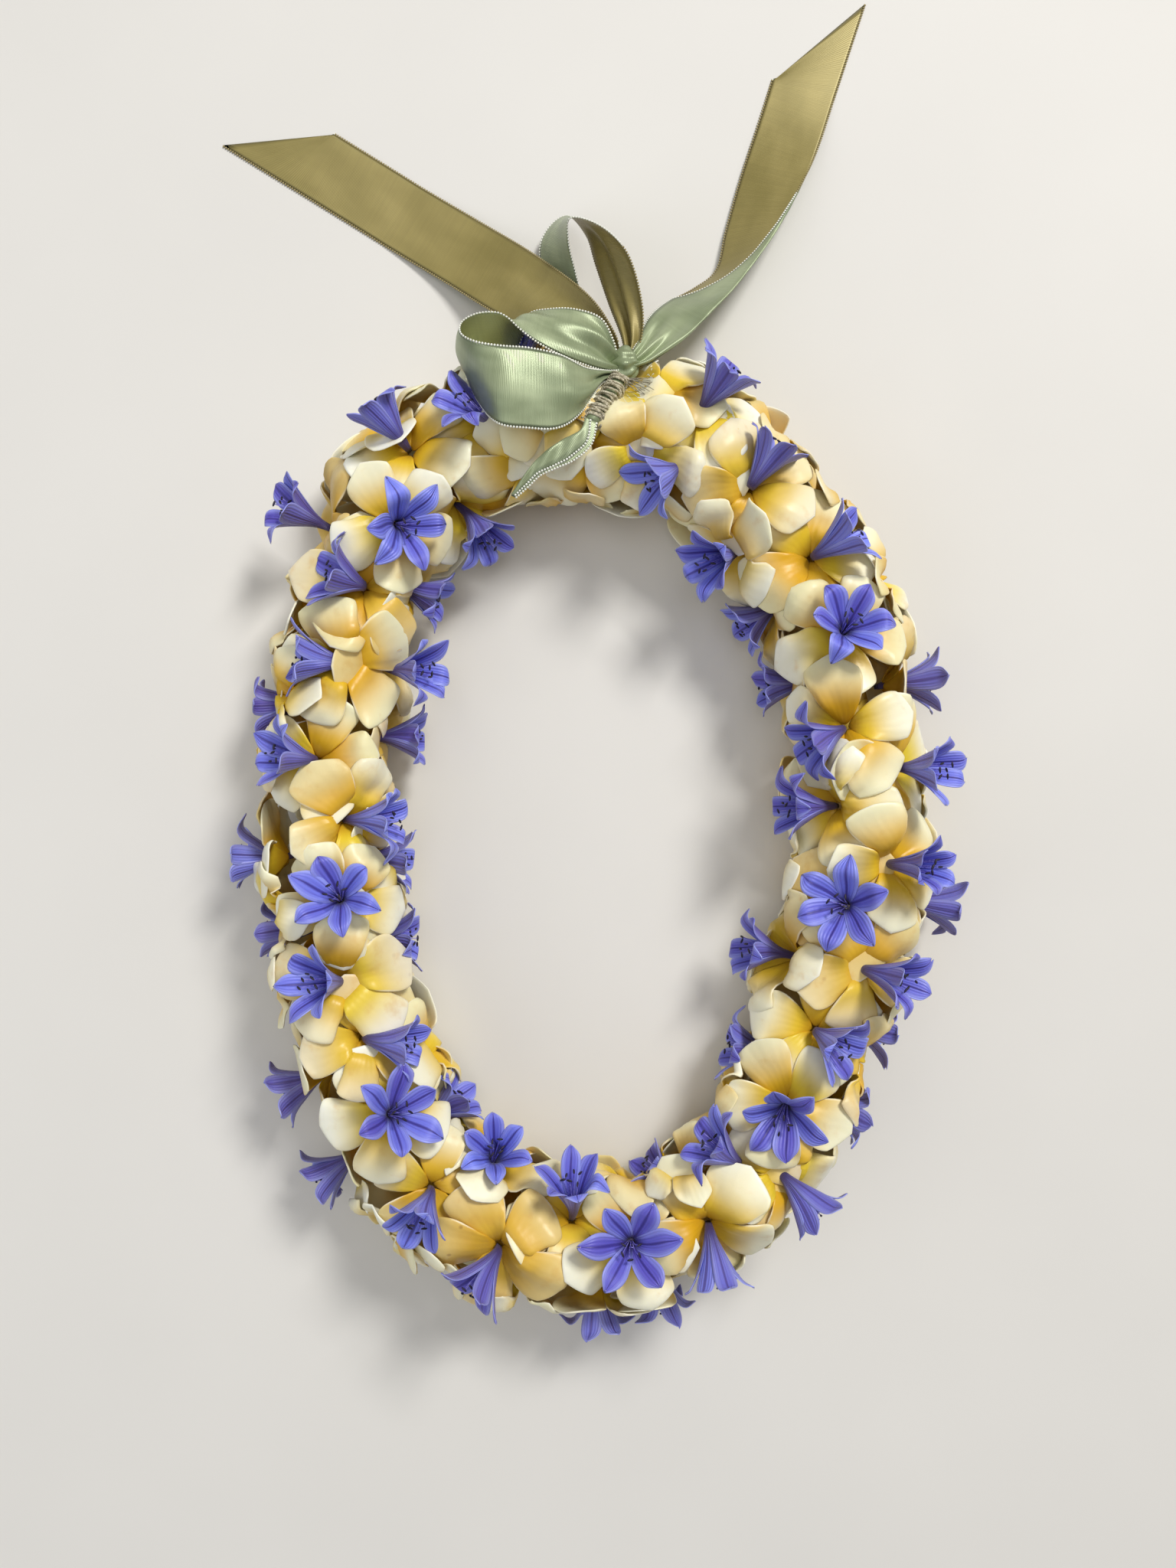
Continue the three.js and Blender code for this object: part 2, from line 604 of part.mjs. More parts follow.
// The bow first, each piece cut clear of those before it, then what it rests on.
const bow = [
  { name: 'ribbon_knot', make: knot, colour: SAGE },
  { name: 'twine_wrap', make: twineWrap, colour: TWINE },
  { name: 'ribbon_loop_left', make: (grow) => strip(LOOP_LEFT, RIBBON_T, grow), colour: SAGE },
  { name: 'ribbon_end', make: (grow) => strip(RIBBON_END, RIBBON_END_T, grow), colour: SAGE },
  { name: 'ribbon_loop_upper', make: (grow) => strip(LOOP_UPPER, RIBBON_T, grow), colour: SAGE },
  { name: 'ribbon_tail_right', make: (grow) => strip(TAIL_RIGHT, RIBBON_T, grow), colour: SAGE },
  { name: 'ribbon_tail_left', make: (grow) => strip(TAIL_LEFT, RIBBON_T, grow), colour: OLIVE },
];
const bowRooms = bow.map(({ make }) => make(GAP));
bow.forEach(({ name, make, colour }, i) => {
  const solid = settled(clearOf(aboveTable(make(0)), bowRooms.slice(0, i)));
  addNode(name, solid, colour, name === 'twine_wrap' ? 0.9 : 0.35);
});

const standing = blooms.filter((b) => b.aim && b.low !== 2);
const rooms = standing.map((b) => aboveTable(floretRoom(b)));
standing.forEach((bloom, i) => {
  const solid = settled(clearOf(aboveTable(floret(bloom)), [...bowRooms, ...rooms.slice(0, i)]));
  addNode(`violet_${pad(i)}`, solid, VIOLET, 0.55);
});

const stringRod = (grow) => rod(0.02, 19.98, STRING_R + grow, STRING_SIDES, STRING_STEPS);
const stretches = Array.from({ length: ROUTE.length / STEPS_PER_GROUP }, (_, k) => k);
const grown = stretches.map((k) => stretch(k, blooms, GAP));
stretches.forEach((k) => {
  const cut = [...bowRooms, ...rooms, ...grown.slice(0, k), stringRod(GAP)];
  addNode(`cream_${pad(k)}`, settled(clearOf(stretch(k, blooms, 0), cut)), CREAM, 0.5);
});
addNode('string', stringRod(0), STRING, 0.9);

// The origin is under the middle of the whole piece, on the table.
const extent = new THREE.Box3().setFromObject(group);
const middle = extent.getCenter(new THREE.Vector3());
for (const node of group.children) node.geometry.translate(-middle.x, -middle.y, 0);

export default group;
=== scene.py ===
# Looks of the fresh flower lei: petals, florets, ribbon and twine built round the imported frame.
import math

import bpy
import numpy as np
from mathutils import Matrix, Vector


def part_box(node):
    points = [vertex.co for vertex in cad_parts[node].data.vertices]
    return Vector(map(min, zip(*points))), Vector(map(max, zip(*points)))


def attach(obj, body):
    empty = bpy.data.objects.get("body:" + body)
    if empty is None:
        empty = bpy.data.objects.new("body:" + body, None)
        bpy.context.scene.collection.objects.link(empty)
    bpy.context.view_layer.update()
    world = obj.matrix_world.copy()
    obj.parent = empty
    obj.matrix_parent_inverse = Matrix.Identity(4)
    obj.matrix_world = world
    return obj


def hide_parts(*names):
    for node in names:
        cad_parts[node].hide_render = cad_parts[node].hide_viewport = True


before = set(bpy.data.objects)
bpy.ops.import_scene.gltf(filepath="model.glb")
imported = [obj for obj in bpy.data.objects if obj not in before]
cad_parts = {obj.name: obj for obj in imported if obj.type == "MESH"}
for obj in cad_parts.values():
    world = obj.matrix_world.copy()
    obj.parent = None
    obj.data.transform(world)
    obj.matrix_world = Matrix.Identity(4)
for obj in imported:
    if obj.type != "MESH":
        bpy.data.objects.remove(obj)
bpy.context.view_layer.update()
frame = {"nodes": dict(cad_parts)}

# Reading of the picture, the same as in the part: millimetres, the picture's own frame.
MM_PER_PX = 0.428
MIDDLE_PX = (768, 1024)
EYE_Z = 680.0
IMAGE_HEIGHT = 2048
SENSOR = 36.0

# The string and the blooms on it, as in the part.
STRING_Z, STRING_STEPS, STRING_ENDS = 36.0, 40, (0.02, 19.98)
STRETCHES = 10
THROAT_REACH, SEAT_ROUNDS = 31.0, 5
PETALS, LOW_PETALS, TEPALS = 5, 4, 6
LOW_ROLL = 1.75
CROSS_BEND, ALONG_BEND = 0.0095, 0.002
DIP_THROAT, DIP_PETAL = 5.0, 10.0
UNDER_COUNT, UNDER_SWING, UNDER_SIZE, UNDER_DROP = 20, 0.5, 1.28, 2.5
SEED = 20417
DRAW_TIMES, DRAW_RANGE = 48271, 2147483647

# Only here: petals reach a little further than in the part, and florets stand fuller and higher.
PETAL_REACH = 33.0
PETAL_T, TEPAL_T, CURL_FROM = 1.15, 0.6, 0.45
FULLER, LONGER, HIGHEST = 1.14, 1.07, 98.0

# How far petals move: up over others, down under florets within reach, and how they shrink there.
LIFT_MOST, TEPAL_LIFT_MOST, LIFT_PERCENT = 8.0, 6.0, 75
DIP_NEAR, DIP_MOST, DIP_PERCENT, LEAST_LEAN = 45.0, 9.0, 85, 0.35
MOST_SHRINKS, SHRINK, MOST_BLOCKED = 5, 0.86, 0.05

# A floret's trumpet: its radius at the foot, and how much less than the floret's it widens.
TRUMPET_FOOT, TRUMPET_LESS = 4.2, 3.6

# How steeply petals and florets may rise beside the ribbon, and how far beside it that holds.
PETAL_SLOPE, FLORET_SLOPE = (1.6, 20.0), (3.0, 10.0)

# What would reach into the table is pressed into this room above it.
PRESS_FROM, PRESS_ROOM = 6.0, 5.5

# Small blooms that fill the flanks: between which angles about the string, where, and how many.
FLANK = (0.95, 2.3)
BARE_REACH, BARE_MOST, FILL_ABOVE = 30, 12, 4.5
PATCH_ALONG, PATCH_ROUND = range(-9, 10, 3), range(-8, 9, 2)
FILLER_DROP, MOST_FILLERS = -2.0, 30

# The ribbon: width and thickness, samples, least height, and room that flowers leave under it.
RIBBON_WIDTH, END_WIDTH, RIBBON_T = 38.0, 12.0, 0.42
STATION_STEPS, STRIP_COLS, FOLDED_COLS, PICOT_STEP = 10, 25, 37, 1.5
RIBBON_LOWEST, GUARD_CLEAR, GUARD_REACH = 0.45, 1.6, 1.5

# Florets, as in the part: measures when closed, and what opening adds or takes.
FLORET_LENGTH, MOST_SIDEWAYS = 27, 0.97
CLOSED_RADIUS, OPEN_RADIUS, CLOSED_HEIGHT, OPEN_HEIGHT = 10.5, 12, 34, 16
MOUTH_TO_TIP, MOUTH_RISE = 2, 6
LOW_RISE, LOW_OUTWARD = 0.1, 14
MOST_SINK = (0, 5, 25)

# The string's course on the table, in the picture's millimetres.
ROUTE = np.array([
    (3, 187), (53, 181), (94, 144), (126, 95), (137, 42),
    (145, -19), (139, -75), (116, -140), (84, -200), (37, -234),
    (-15, -241), (-68, -225), (-102, -176), (-128, -116), (-137, -51),
    (-139, 10), (-131, 70), (-112, 127), (-80, 171), (-40, 189),
], float)

# Florets in string order: throat px, mouth px, how open, and 0 standing, 1 low, 2 low and sunk.
SEEN = [
    (912, 532, 952, 475, 0.45, 0), (892, 610, 825, 645, 0.7, 0), (978, 635, 1025, 565, 0.4, 0),
    (1062, 725, 1120, 688, 0.45, 0), (962, 722, 915, 745, 0.45, 0), (1005, 790, 960, 820, 0.5, 2),
    (1101, 830, 1112, 808, 0.9, 0), (1175, 895, 1205, 900, 0.5, 1), (1020, 895, 990, 897, 0.4, 2),
    (1100, 945, 1040, 975, 0.6, 0), (1177, 995, 1232, 1000, 0.45, 0),
    (1082, 1058, 1015, 1060, 0.5, 0), (1166, 1125, 1205, 1125, 0.15, 0),
    (1222, 1178, 1250, 1180, 0.3, 2), (1105, 1186, 1080, 1180, 1, 0),
    (1027, 1245, 960, 1230, 0.55, 0), (1127, 1272, 1180, 1285, 0.3, 0),
    (1062, 1350, 1110, 1380, 0.7, 0), (982, 1362, 947, 1360, 0.5, 2),
    (1140, 1350, 1160, 1355, 0.4, 2), (1110, 1460, 1127, 1457, 0.4, 2),
    (1025, 1445, 1010, 1475, 0.95, 0), (962, 1522, 900, 1480, 0.6, 0),
    (872, 1525, 842, 1510, 0.4, 2), (1020, 1540, 1072, 1600, 0.4, 0),
    (932, 1602, 945, 1675, 0.35, 0), (827, 1620, 827, 1617, 1, 0), (775, 1700, 777, 1730, 0.4, 2),
    (867, 1695, 870, 1711, 0.3, 2), (742, 1582, 740, 1525, 0.45, 0), (645, 1530, 655, 1487, 0.4, 0),
    (597, 1442, 612, 1425, 0.4, 2), (647, 1632, 607, 1687, 0.45, 0), (562, 1552, 540, 1600, 0.6, 0),
    (462, 1517, 415, 1555, 0.45, 1), (505, 1450, 537, 1437, 0.95, 0),
    (419, 1407, 372, 1432, 0.45, 1), (475, 1350, 542, 1360, 0.4, 0), (447, 1285, 400, 1280, 0.6, 0),
    (512, 1222, 547, 1225, 0.5, 2), (352, 1215, 346, 1216, 0.3, 2), (445, 1172, 442, 1155, 0.95, 0),
    (512, 1115, 540, 1122, 0.4, 2), (357, 1115, 315, 1110, 0.55, 1), (457, 1072, 525, 1070, 0.4, 0),
    (410, 995, 350, 985, 0.6, 0), (512, 970, 555, 967, 0.5, 2), (355, 915, 337, 925, 0.4, 2),
    (512, 870, 570, 872, 0.4, 0), (449, 867, 377, 860, 0.5, 0), (477, 772, 415, 750, 0.6, 0),
    (560, 780, 582, 787, 0.4, 2), (522, 677, 555, 690, 0.9, 0), (610, 675, 642, 720, 0.45, 0),
    (415, 680, 365, 660, 0.5, 0), (527, 580, 475, 515, 0.5, 0), (637, 550, 605, 522, 0.5, 0),
    (686, 478, 690, 418, 0.4, 0),
]
BARE = [(862, 516), (838, 590), (765, 595), (690, 600), (715, 530)]

# Ribbon stations: px and height of one edge, then of the other.
TAIL_LEFT = [
    (291, 190, 0.45, 437, 176, 0.45), (400, 257, 0.45, 446, 181, 0.45),
    (500, 319, 0.45, 546, 243, 0.45), (580, 367, 6, 626, 290, 5), (650, 410, 20, 696, 332, 20),
    (722, 446, 36, 766, 384, 42), (784, 470, 46, 800, 430, 50), (806, 482, 50, 812, 462, 51),
]
TAIL_RIGHT = [
    (1132, 3, 0.45, 1009, 106, 0.45), (1092, 125, 0.45, 1008, 108, 0.45),
    (1070, 192, 6, 990, 165, 1.2), (1047, 246, 14, 968, 232, 2), (1022, 292, 20, 948, 303, 3),
    (1000, 325, 26, 936, 352, 6), (962, 376, 34, 908, 376, 10), (925, 416, 42, 872, 396, 20),
    (890, 450, 48, 846, 420, 34), (852, 474, 51, 832, 450, 44), (824, 484, 50, 820, 470, 48),
]
LOOP_LEFT = [
    (812, 484, 54, 808, 496, 52), (790, 484, 62, 786, 500, 62), (764, 480, 76, 758, 539, 78),
    (732, 464, 87, 729, 558, 85), (692, 455, 90, 689, 558, 88), (654, 452, 92, 649, 551, 87),
    (622, 447, 92, 622, 520, 70), (602, 436, 90, 606, 480, 57), (603, 421, 86, 612, 474, 50),
    (622, 410, 84, 640, 476, 49), (646, 408, 83, 666, 468, 50), (662, 414, 82, 682, 440, 52),
    (680, 430, 80, 690, 411, 56), (704, 448, 77, 716, 404, 60), (738, 466, 72, 750, 404, 62),
    (776, 480, 64, 784, 416, 60), (796, 484, 58, 800, 444, 56), (808, 484, 52, 806, 468, 51),
]
LOOP_UPPER = [
    (806, 466, 36, 812, 476, 42), (764, 440, 14, 790, 432, 30), (722, 396, 8, 764, 398, 28),
    (705, 333, 6, 750, 350, 34), (716, 298, 8, 742, 312, 42), (742, 282, 12, 746, 284, 50),
    (766, 308, 20, 786, 296, 54), (778, 345, 24, 820, 332, 52), (796, 398, 32, 838, 394, 50),
    (812, 440, 42, 838, 440, 48), (818, 474, 48, 826, 468, 48),
]
RIBBON_END = [
    (765, 545, 79, 779, 551, 78), (757, 562, 80, 772, 580, 79), (735, 573, 80, 750, 600, 79),
    (715, 587, 80, 728, 610, 79), (697, 604, 79, 706, 620, 78), (681, 626, 77, 691, 634, 76),
    (667, 647, 74, 673, 650, 74),
]

# How much of the right tail and of the end is folded over, along them.
TAIL_FOLD = [0, 0, 0, 0.02, 0.08, 0.19, 0.4, 0.53, 0.56, 0.56, 0.54]
END_FOLD = [0.3, 0.42, 0.46, 0.46, 0.42, 0.4]

KNOT_PX = (815, 478, 50)
KNOT_RADII = (8.5, 9.5, 8.0)
WRAP_PX = ((811, 494, 58), (771, 553, 76))
FRAYED_PX = ((846, 514, 66), (852, 500, 60))
STEM_R, TWINE_R, FRAYED_R = 3.3, 0.62, 0.4

# Windings of the twine: turns, how far out, and where it begins.
WINDINGS = [(6, 0.3, 0.0), (6, 0.3, 0.6), (7, 1.0, 2.2), (4, 1.5, 4.0), (-5, 1.2, 1.0)]

# The core of flower tubes in a stretch.
CORE_R, CORE_RINGS, CORE_SIDES = 9.5, 14, 20

# Pieces that others rest on.
KNOT, WOUND = "ribbon_knot_gathered", "twine_wound"

UP = np.array([0.0, 0.0, 1.0])
rng = np.random.RandomState(SEED)
rand = rng.uniform


# Small vector helpers.
def unit(v):
    return v / np.maximum(np.linalg.norm(v, axis=-1, keepdims=True), 1e-9)


def smoothstep(low, high, x):
    t = np.clip((x - low) / (high - low), 0, 1)
    return t * t * (3 - 2 * t)


def between(a, b, c, d, t):
    """A point between b and c on the smooth line (Catmull-Rom) through the four."""
    return 0.5 * (2 * b + (c - a) * t + (2 * a - 5 * b + 4 * c - d) * t ** 2
                  + (3 * b - a - 3 * c + d) * t ** 3)


def on_route(u):
    u = np.atleast_1d(np.asarray(u, float))
    first = np.floor(u).astype(int)
    near = (ROUTE[(first + i) % len(ROUTE)] for i in (-1, 0, 1, 2))
    return np.column_stack([between(*near, (u - first)[:, None]), np.full(len(u), STRING_Z)])


def route_frame(u):
    along = unit(on_route(u + 0.001) - on_route(u - 0.001))
    inward = np.column_stack([along[:, 1], -along[:, 0], np.zeros(len(along))])
    return on_route(u), along, inward


def catmull(points, per_step):
    """A smooth open line through the points, with per_step samples between neighbours."""
    points = np.asarray(points, float)
    ends = 2 * points[:1] - points[1:2], 2 * points[-1:] - points[-2:-1]
    padded = np.concatenate([ends[0], points, ends[1]])
    u = np.linspace(0, len(points) - 1, (len(points) - 1) * per_step + 1)
    first = np.minimum(u.astype(int), len(points) - 2)
    t = (u - first).reshape((-1,) + (1,) * (points.ndim - 1))
    return between(*(padded[first + i] for i in range(4)), t)


def press(points):
    """Flattens what would reach into the table against it, as the weight of the flowers does."""
    z = points[..., 2]
    under = np.minimum(z, PRESS_FROM) - PRESS_FROM
    out = points.copy()
    out[..., 2] = np.maximum(z, PRESS_FROM) - PRESS_ROOM * (1 - np.exp(under / PRESS_ROOM))
    return out


# The table of blooms, with the same draws in the same order as in the part.
state = SEED


def draw(low, high):
    global state
    state = (state * DRAW_TIMES) % DRAW_RANGE
    return low + (high - low) * (state / DRAW_RANGE)


def plan_of(px, z):
    scale = MM_PER_PX * (1 - z / EYE_Z)
    return np.array([(px[0] - MIDDLE_PX[0]) * scale, (MIDDLE_PX[1] - px[1]) * scale])


ROUTE_CELLS = 800
ROUTE_U = np.arange(ROUTE_CELLS) * len(ROUTE) / ROUTE_CELLS
ROUTE_LINE, _, ROUTE_INWARD = route_frame(ROUTE_U)


def seat(px, low):
    """Where on the string a bloom sits and how far it rolls about it, from the px of its throat."""
    z = STRING_Z if low else STRING_Z + THROAT_REACH
    for _ in range(SEAT_ROUNDS):
        plan = plan_of(px, z)
        u = ROUTE_U[np.argmin(np.hypot(*(ROUTE_LINE[:, :2] - plan).T))]
        at, _, inward = (v[0] for v in route_frame(np.array([u])))
        across = (plan - at[:2]) @ inward[:2]
        roll = math.asin(max(-1.0, min(1.0, across / THROAT_REACH)))
        if low:
            roll = math.copysign(max(abs(roll), LOW_ROLL), roll)
        z = STRING_Z + THROAT_REACH * math.cos(roll)
    return dict(u=u, roll=roll, lean=0.0, sink=0.0, under=False)


def floret_height(opening):
    return CLOSED_HEIGHT - OPEN_HEIGHT * opening


def bloom_frame(bloom):
    """The place of one bloom on the string, its axis, the two ways across it, and its throat."""
    at, along, inward = (v[0] for v in route_frame(np.array([bloom["u"]])))
    outward = inward * math.sin(bloom["roll"]) + UP * math.cos(bloom["roll"])
    axis = outward * math.cos(bloom["lean"]) + along * math.sin(bloom["lean"])
    side = unit(np.cross(axis, along))
    fore = unit(np.cross(axis, side))
    return dict(at=at, axis=axis, side=side, fore=fore,
                throat=at + axis * (THROAT_REACH - bloom["sink"]))


def read_floret(row):
    """One bloom of the table with its floret: which way this leans, and how far it is sunk."""
    opening, low = row[4], row[5]
    bloom = seat(row[:2], low)
    place = bloom_frame(bloom)
    throat = place["throat"]
    mouth = plan_of(row[2:4], throat[2] + (0 if low else MOUTH_RISE))
    aim = np.array([mouth[0] - throat[0], mouth[1] - throat[1], 0.0])
    reach = min(np.linalg.norm(aim), FLORET_LENGTH * MOST_SIDEWAYS)
    aim *= reach / np.linalg.norm(aim)
    aim[2] = math.sqrt(FLORET_LENGTH ** 2 - reach ** 2) * (LOW_RISE if low else 1)
    if low:
        aim += place["axis"] * LOW_OUTWARD
    string = on_route(bloom["u"])[0]
    seen = np.hypot(mouth[0] - string[0], mouth[1] - string[1]) + MOUTH_TO_TIP
    beyond = max(0.0, THROAT_REACH + floret_height(opening) - seen)
    bloom.update(aim=unit(aim), open=opening, low=low, sink=min(beyond, MOST_SINK[low]))
    return bloom


def table_of_blooms():
    """All blooms of the part. A petal's third draw is for the solids, and only keeps the order."""
    blooms = [read_floret(row) for row in SEEN]
    blooms += [dict(seat(px, 0), aim=None, open=0, low=0) for px in BARE]
    for i in range(UNDER_COUNT):
        u = len(ROUTE) * (i + 0.5 + draw(-0.2, 0.2)) / UNDER_COUNT
        swing = draw(0.4, 1) if i % 2 else draw(-1, -0.4)
        blooms.append(dict(u=u, roll=math.pi + UNDER_SWING * swing, lean=0.0, sink=0.0,
                           aim=None, open=0, low=1, under=True))
    for bloom in blooms:
        petals = LOW_PETALS if bloom["low"] else PETALS
        bloom["lean"] = draw(-0.1, 0.1)
        bloom["twist"] = draw(0, 2 * math.pi)
        bloom["size"] = draw(0.94, 1.06) * (UNDER_SIZE if bloom["under"] else 1)
        bloom["petals"] = [[draw(-0.1, 0.1), draw(0.9, 1.05), draw(-3.5, 2.5)]
                           for _ in range(petals)]
        bloom["tepals"] = [[draw(-0.12, 0.12), draw(0.88, 1.06), draw(-2, 2)]
                           for _ in range(TEPALS)]
    return blooms


# Where the middle of the whole part lies in the picture's frame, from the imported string.
line = on_route(np.linspace(*STRING_ENDS, STRING_STEPS + 1))
string_low, string_high = (np.array(corner) * 1000 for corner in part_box("string"))
MIDDLE = (line.min(0) + line.max(0)) / 2 - (string_low + string_high) / 2
MIDDLE[2] = 0


# Mesh making: every array is in the picture's millimetres until a piece is made.
def shell_faces(rows, cols):
    """Faces of a closed shell over a grid: the upper side, the lower side, one shared rim."""
    index = np.arange(rows * cols).reshape(rows, cols)
    lower = index.copy()
    inner = np.zeros((rows, cols), bool)
    inner[1:-1, 1:-1] = True
    lower[inner] = rows * cols + np.arange(inner.sum())

    def quads(grid):
        corners = [grid[:-1, :-1], grid[1:, :-1], grid[1:, 1:], grid[:-1, 1:]]
        return np.stack(corners, -1).reshape(-1, 4)

    return np.concatenate([quads(index), quads(lower)[:, ::-1]]), inner


def capped_faces(rings, sides):
    """Faces of a body of rings between two poles, which are its first and its last vertex."""
    here, last, top = np.arange(sides), rings * sides + 1, (rings - 1) * sides + 1
    after = (here + 1) % sides
    foot = np.column_stack([0 * here, 1 + after, 1 + here, 1 + here])
    wall = np.column_stack([here, after, sides + after, sides + here])
    walls = [1 + i * sides + wall for i in range(rings - 1)]
    head = np.column_stack([last + 0 * here, top + here, top + after, top + after])
    return np.concatenate([foot, *walls, head])


def turned(faces):
    """The same faces, facing the other way."""
    return faces[:, [0, 3, 2, 1]]


def ball(a, b):
    """Points of a ball of radius 1, by the angle from its first axis and the angle about it."""
    across = np.sin(a)
    return np.stack(np.broadcast_arrays(np.cos(a), across * np.cos(b), across * np.sin(b)), -1)


def grid_normals(mid):
    du = np.gradient(mid, axis=-3)
    dv = np.gradient(mid, axis=-2)
    return unit(np.cross(du, dv))


def shell(mid, thickness, inner):
    """Vertices of shells over grids (..., rows, cols, 3): the upper grid, then the lower inner."""
    normal = grid_normals(mid)
    half = (thickness / 2)[..., None] * normal
    upper = (mid + half).reshape(mid.shape[:-3] + (-1, 3))
    lower = (mid - half)[..., inner, :]
    return np.concatenate([upper, lower], axis=-2)


def both_sides(values, inner):
    """An attribute for the vertices of a shell, from its value at each grid point."""
    flat = values.reshape(values.shape[:-2] + (-1,))
    return np.concatenate([flat, values[..., inner]], axis=-1)


def linked(name, data):
    """A new object in the scene."""
    made = bpy.data.objects.new(name, data)
    bpy.context.scene.collection.objects.link(made)
    return made


class Builder:
    """Gathers vertices, faces, attributes and material indices of one piece."""

    def __init__(self):
        self.verts, self.faces, self.marks, self.mats = [], [], {}, []
        self.count = 0

    def add(self, verts, faces, material=0, **marks):
        verts = np.asarray(verts, float).reshape(-1, 3)
        for name in set(marks) | set(self.marks):
            have = self.marks.setdefault(name, [np.zeros(self.count)])
            value = marks.get(name, 0.0)
            have.append(np.broadcast_to(np.asarray(value, float).ravel(), (len(verts),)))
        self.verts.append(verts)
        self.faces.append(np.asarray(faces) + self.count)
        self.mats.append(np.broadcast_to(np.asarray(material), (len(faces),)))
        self.count += len(verts)

    def make(self, name, materials, slot, replaced=()):
        verts = (np.concatenate(self.verts) - MIDDLE) / 1000
        verts[:, 2] = np.maximum(verts[:, 2], 0.0)
        faces = [list(dict.fromkeys(f)) for block in self.faces for f in block.tolist()]
        mesh = bpy.data.meshes.new(name)
        mesh.from_pydata(verts.tolist(), [], faces)
        for key, blocks in self.marks.items():
            layer = mesh.attributes.new(key, "FLOAT", "POINT")
            layer.data.foreach_set("value", np.concatenate(blocks).astype(np.float32))
        for material in materials:
            mesh.materials.append(material)
        mesh.polygons.foreach_set("material_index", np.concatenate(self.mats).astype(np.int32))
        mesh.polygons.foreach_set("use_smooth", np.ones(len(faces), bool))
        mesh.update()
        piece = linked(name, mesh)
        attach(piece, "root")
        if replaced:
            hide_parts(*replaced)
        return piece


def stamp(builder, verts, faces, place, frames, material=0, **marks):
    """Copies a small shape to many places; frames are (n, 3, 3) with the shape's axes as rows."""
    place = np.asarray(place, float).reshape(-1, 3)
    moved = np.einsum("vk,nkc->nvc", verts, frames) + place[:, None]
    block = np.concatenate([faces + i * len(verts) for i in range(len(place))])
    spread = {k: np.repeat(np.broadcast_to(v, (len(place),)), len(verts)) for k, v in marks.items()}
    builder.add(moved, block, material, **spread)


def bead(rings=5, sides=6):
    """A small closed ball of radius 1, with its poles on its first axis."""
    a = math.pi * (1 - np.arange(1, rings)[:, None] / rings)
    ring = ball(a, 2 * math.pi * np.arange(sides) / sides)
    verts = np.concatenate([[(-1, 0, 0)], ring.reshape(-1, 3), [(1, 0, 0)]])
    return verts, capped_faces(rings - 1, sides)


def tube(builder, line, radius, sides, material, **marks):
    """A closed tube with pointed ends along a line."""
    line = np.asarray(line, float)
    radius = np.broadcast_to(np.asarray(radius, float), (len(line),))
    along = unit(np.gradient(line, axis=0))
    across = np.cross(along[0], [0.3, 0.8, 0.5])
    rings = []
    angle = 2 * np.pi * np.arange(sides)[:, None] / sides
    for p, d, r in zip(line, along, radius):
        across = unit(across - d * (across @ d))
        rings.append(p + r * (np.cos(angle) * across + np.sin(angle) * np.cross(d, across)))
    verts = np.concatenate([line[:1], *rings, line[-1:]])
    run = np.concatenate([[0], np.repeat(np.linspace(0, 1, len(line)), sides), [1]])
    builder.add(verts, capped_faces(len(line), sides), material, run=run, **marks)


# Materials, all from nodes.
def srgb(code):
    """A colour as Blender wants it, from its six hex digits."""
    parts = [int(code[i:i + 2], 16) / 255 for i in (0, 2, 4)]
    linear = (c / 12.92 if c <= 0.04045 else ((c + 0.055) / 1.055) ** 2.4 for c in parts)
    return (*linear, 1.0)


class Nodes:
    """Short ways to add and link the nodes of one material."""

    def __init__(self, name):
        self.material = bpy.data.materials.new(name)
        self.material.use_nodes = True
        self.tree = self.material.node_tree
        self.shader = next(n for n in self.tree.nodes if n.type == "BSDF_PRINCIPLED")

    def put(self, socket, value):
        """Links another node's output to a socket, or sets a number, or a colour by its code."""
        if isinstance(value, bpy.types.NodeSocket):
            self.tree.links.new(value, socket)
        else:
            socket.default_value = srgb(value) if isinstance(value, str) else value

    def add(self, kind, values=(), out=0, **settings):
        """One node: its settings, a value or link for each named socket, and which output."""
        made = self.tree.nodes.new("ShaderNode" + kind)
        for key, value in settings.items():
            setattr(made, key, value)
        for key, value in dict(values).items():
            self.put(made.inputs[key], value)
        return made.outputs[out]

    def mark(self, name):
        return self.add("Attribute", out="Fac", attribute_name=name)

    def math(self, operation, a, b=0.0):
        return self.add("Math", {0: a, 1: b}, operation=operation)

    def times(self, a, b):
        return self.math("MULTIPLY", a, b)

    def plus(self, a, b):
        return self.math("ADD", a, b)

    def wave(self, value, rate):
        return self.math("SINE", self.times(value, rate))

    def ramp(self, value, low, high, start=0.0, end=1.0):
        values = enumerate((value, low, high, start, end))
        return self.add("MapRange", values, interpolation_type="SMOOTHSTEP")

    def mix(self, share, a, b):
        return self.add("Mix", {0: share, 6: a, 7: b}, 2, data_type="RGBA")

    def over(self, colour, *layers):
        """A colour with others laid over it, each by its share."""
        for share, shade in layers:
            colour = self.mix(share, colour, shade)
        return colour

    def joined(self, x, y, z=0.0):
        return self.add("CombineXYZ", {0: x, 1: y, 2: z})

    def place(self):
        """The place on the object, which textures follow."""
        return self.add("TexCoord", out="Object")

    def noise(self, scale, detail, vector=None):
        vector = self.place() if vector is None else vector
        values = dict(Scale=scale, Detail=detail, Roughness=0.5, Vector=vector)
        return self.add("TexNoise", values, "Fac")

    def bump(self, height, distance, strength):
        values = dict(Height=height, Distance=distance, Strength=strength)
        self.put(self.shader.inputs["Normal"], self.add("Bump", values))

    def set(self, **inputs):
        """The material, when its shader's sockets are set."""
        for key, value in inputs.items():
            self.put(self.shader.inputs[key.replace("_", " ")], value)
        return self.material


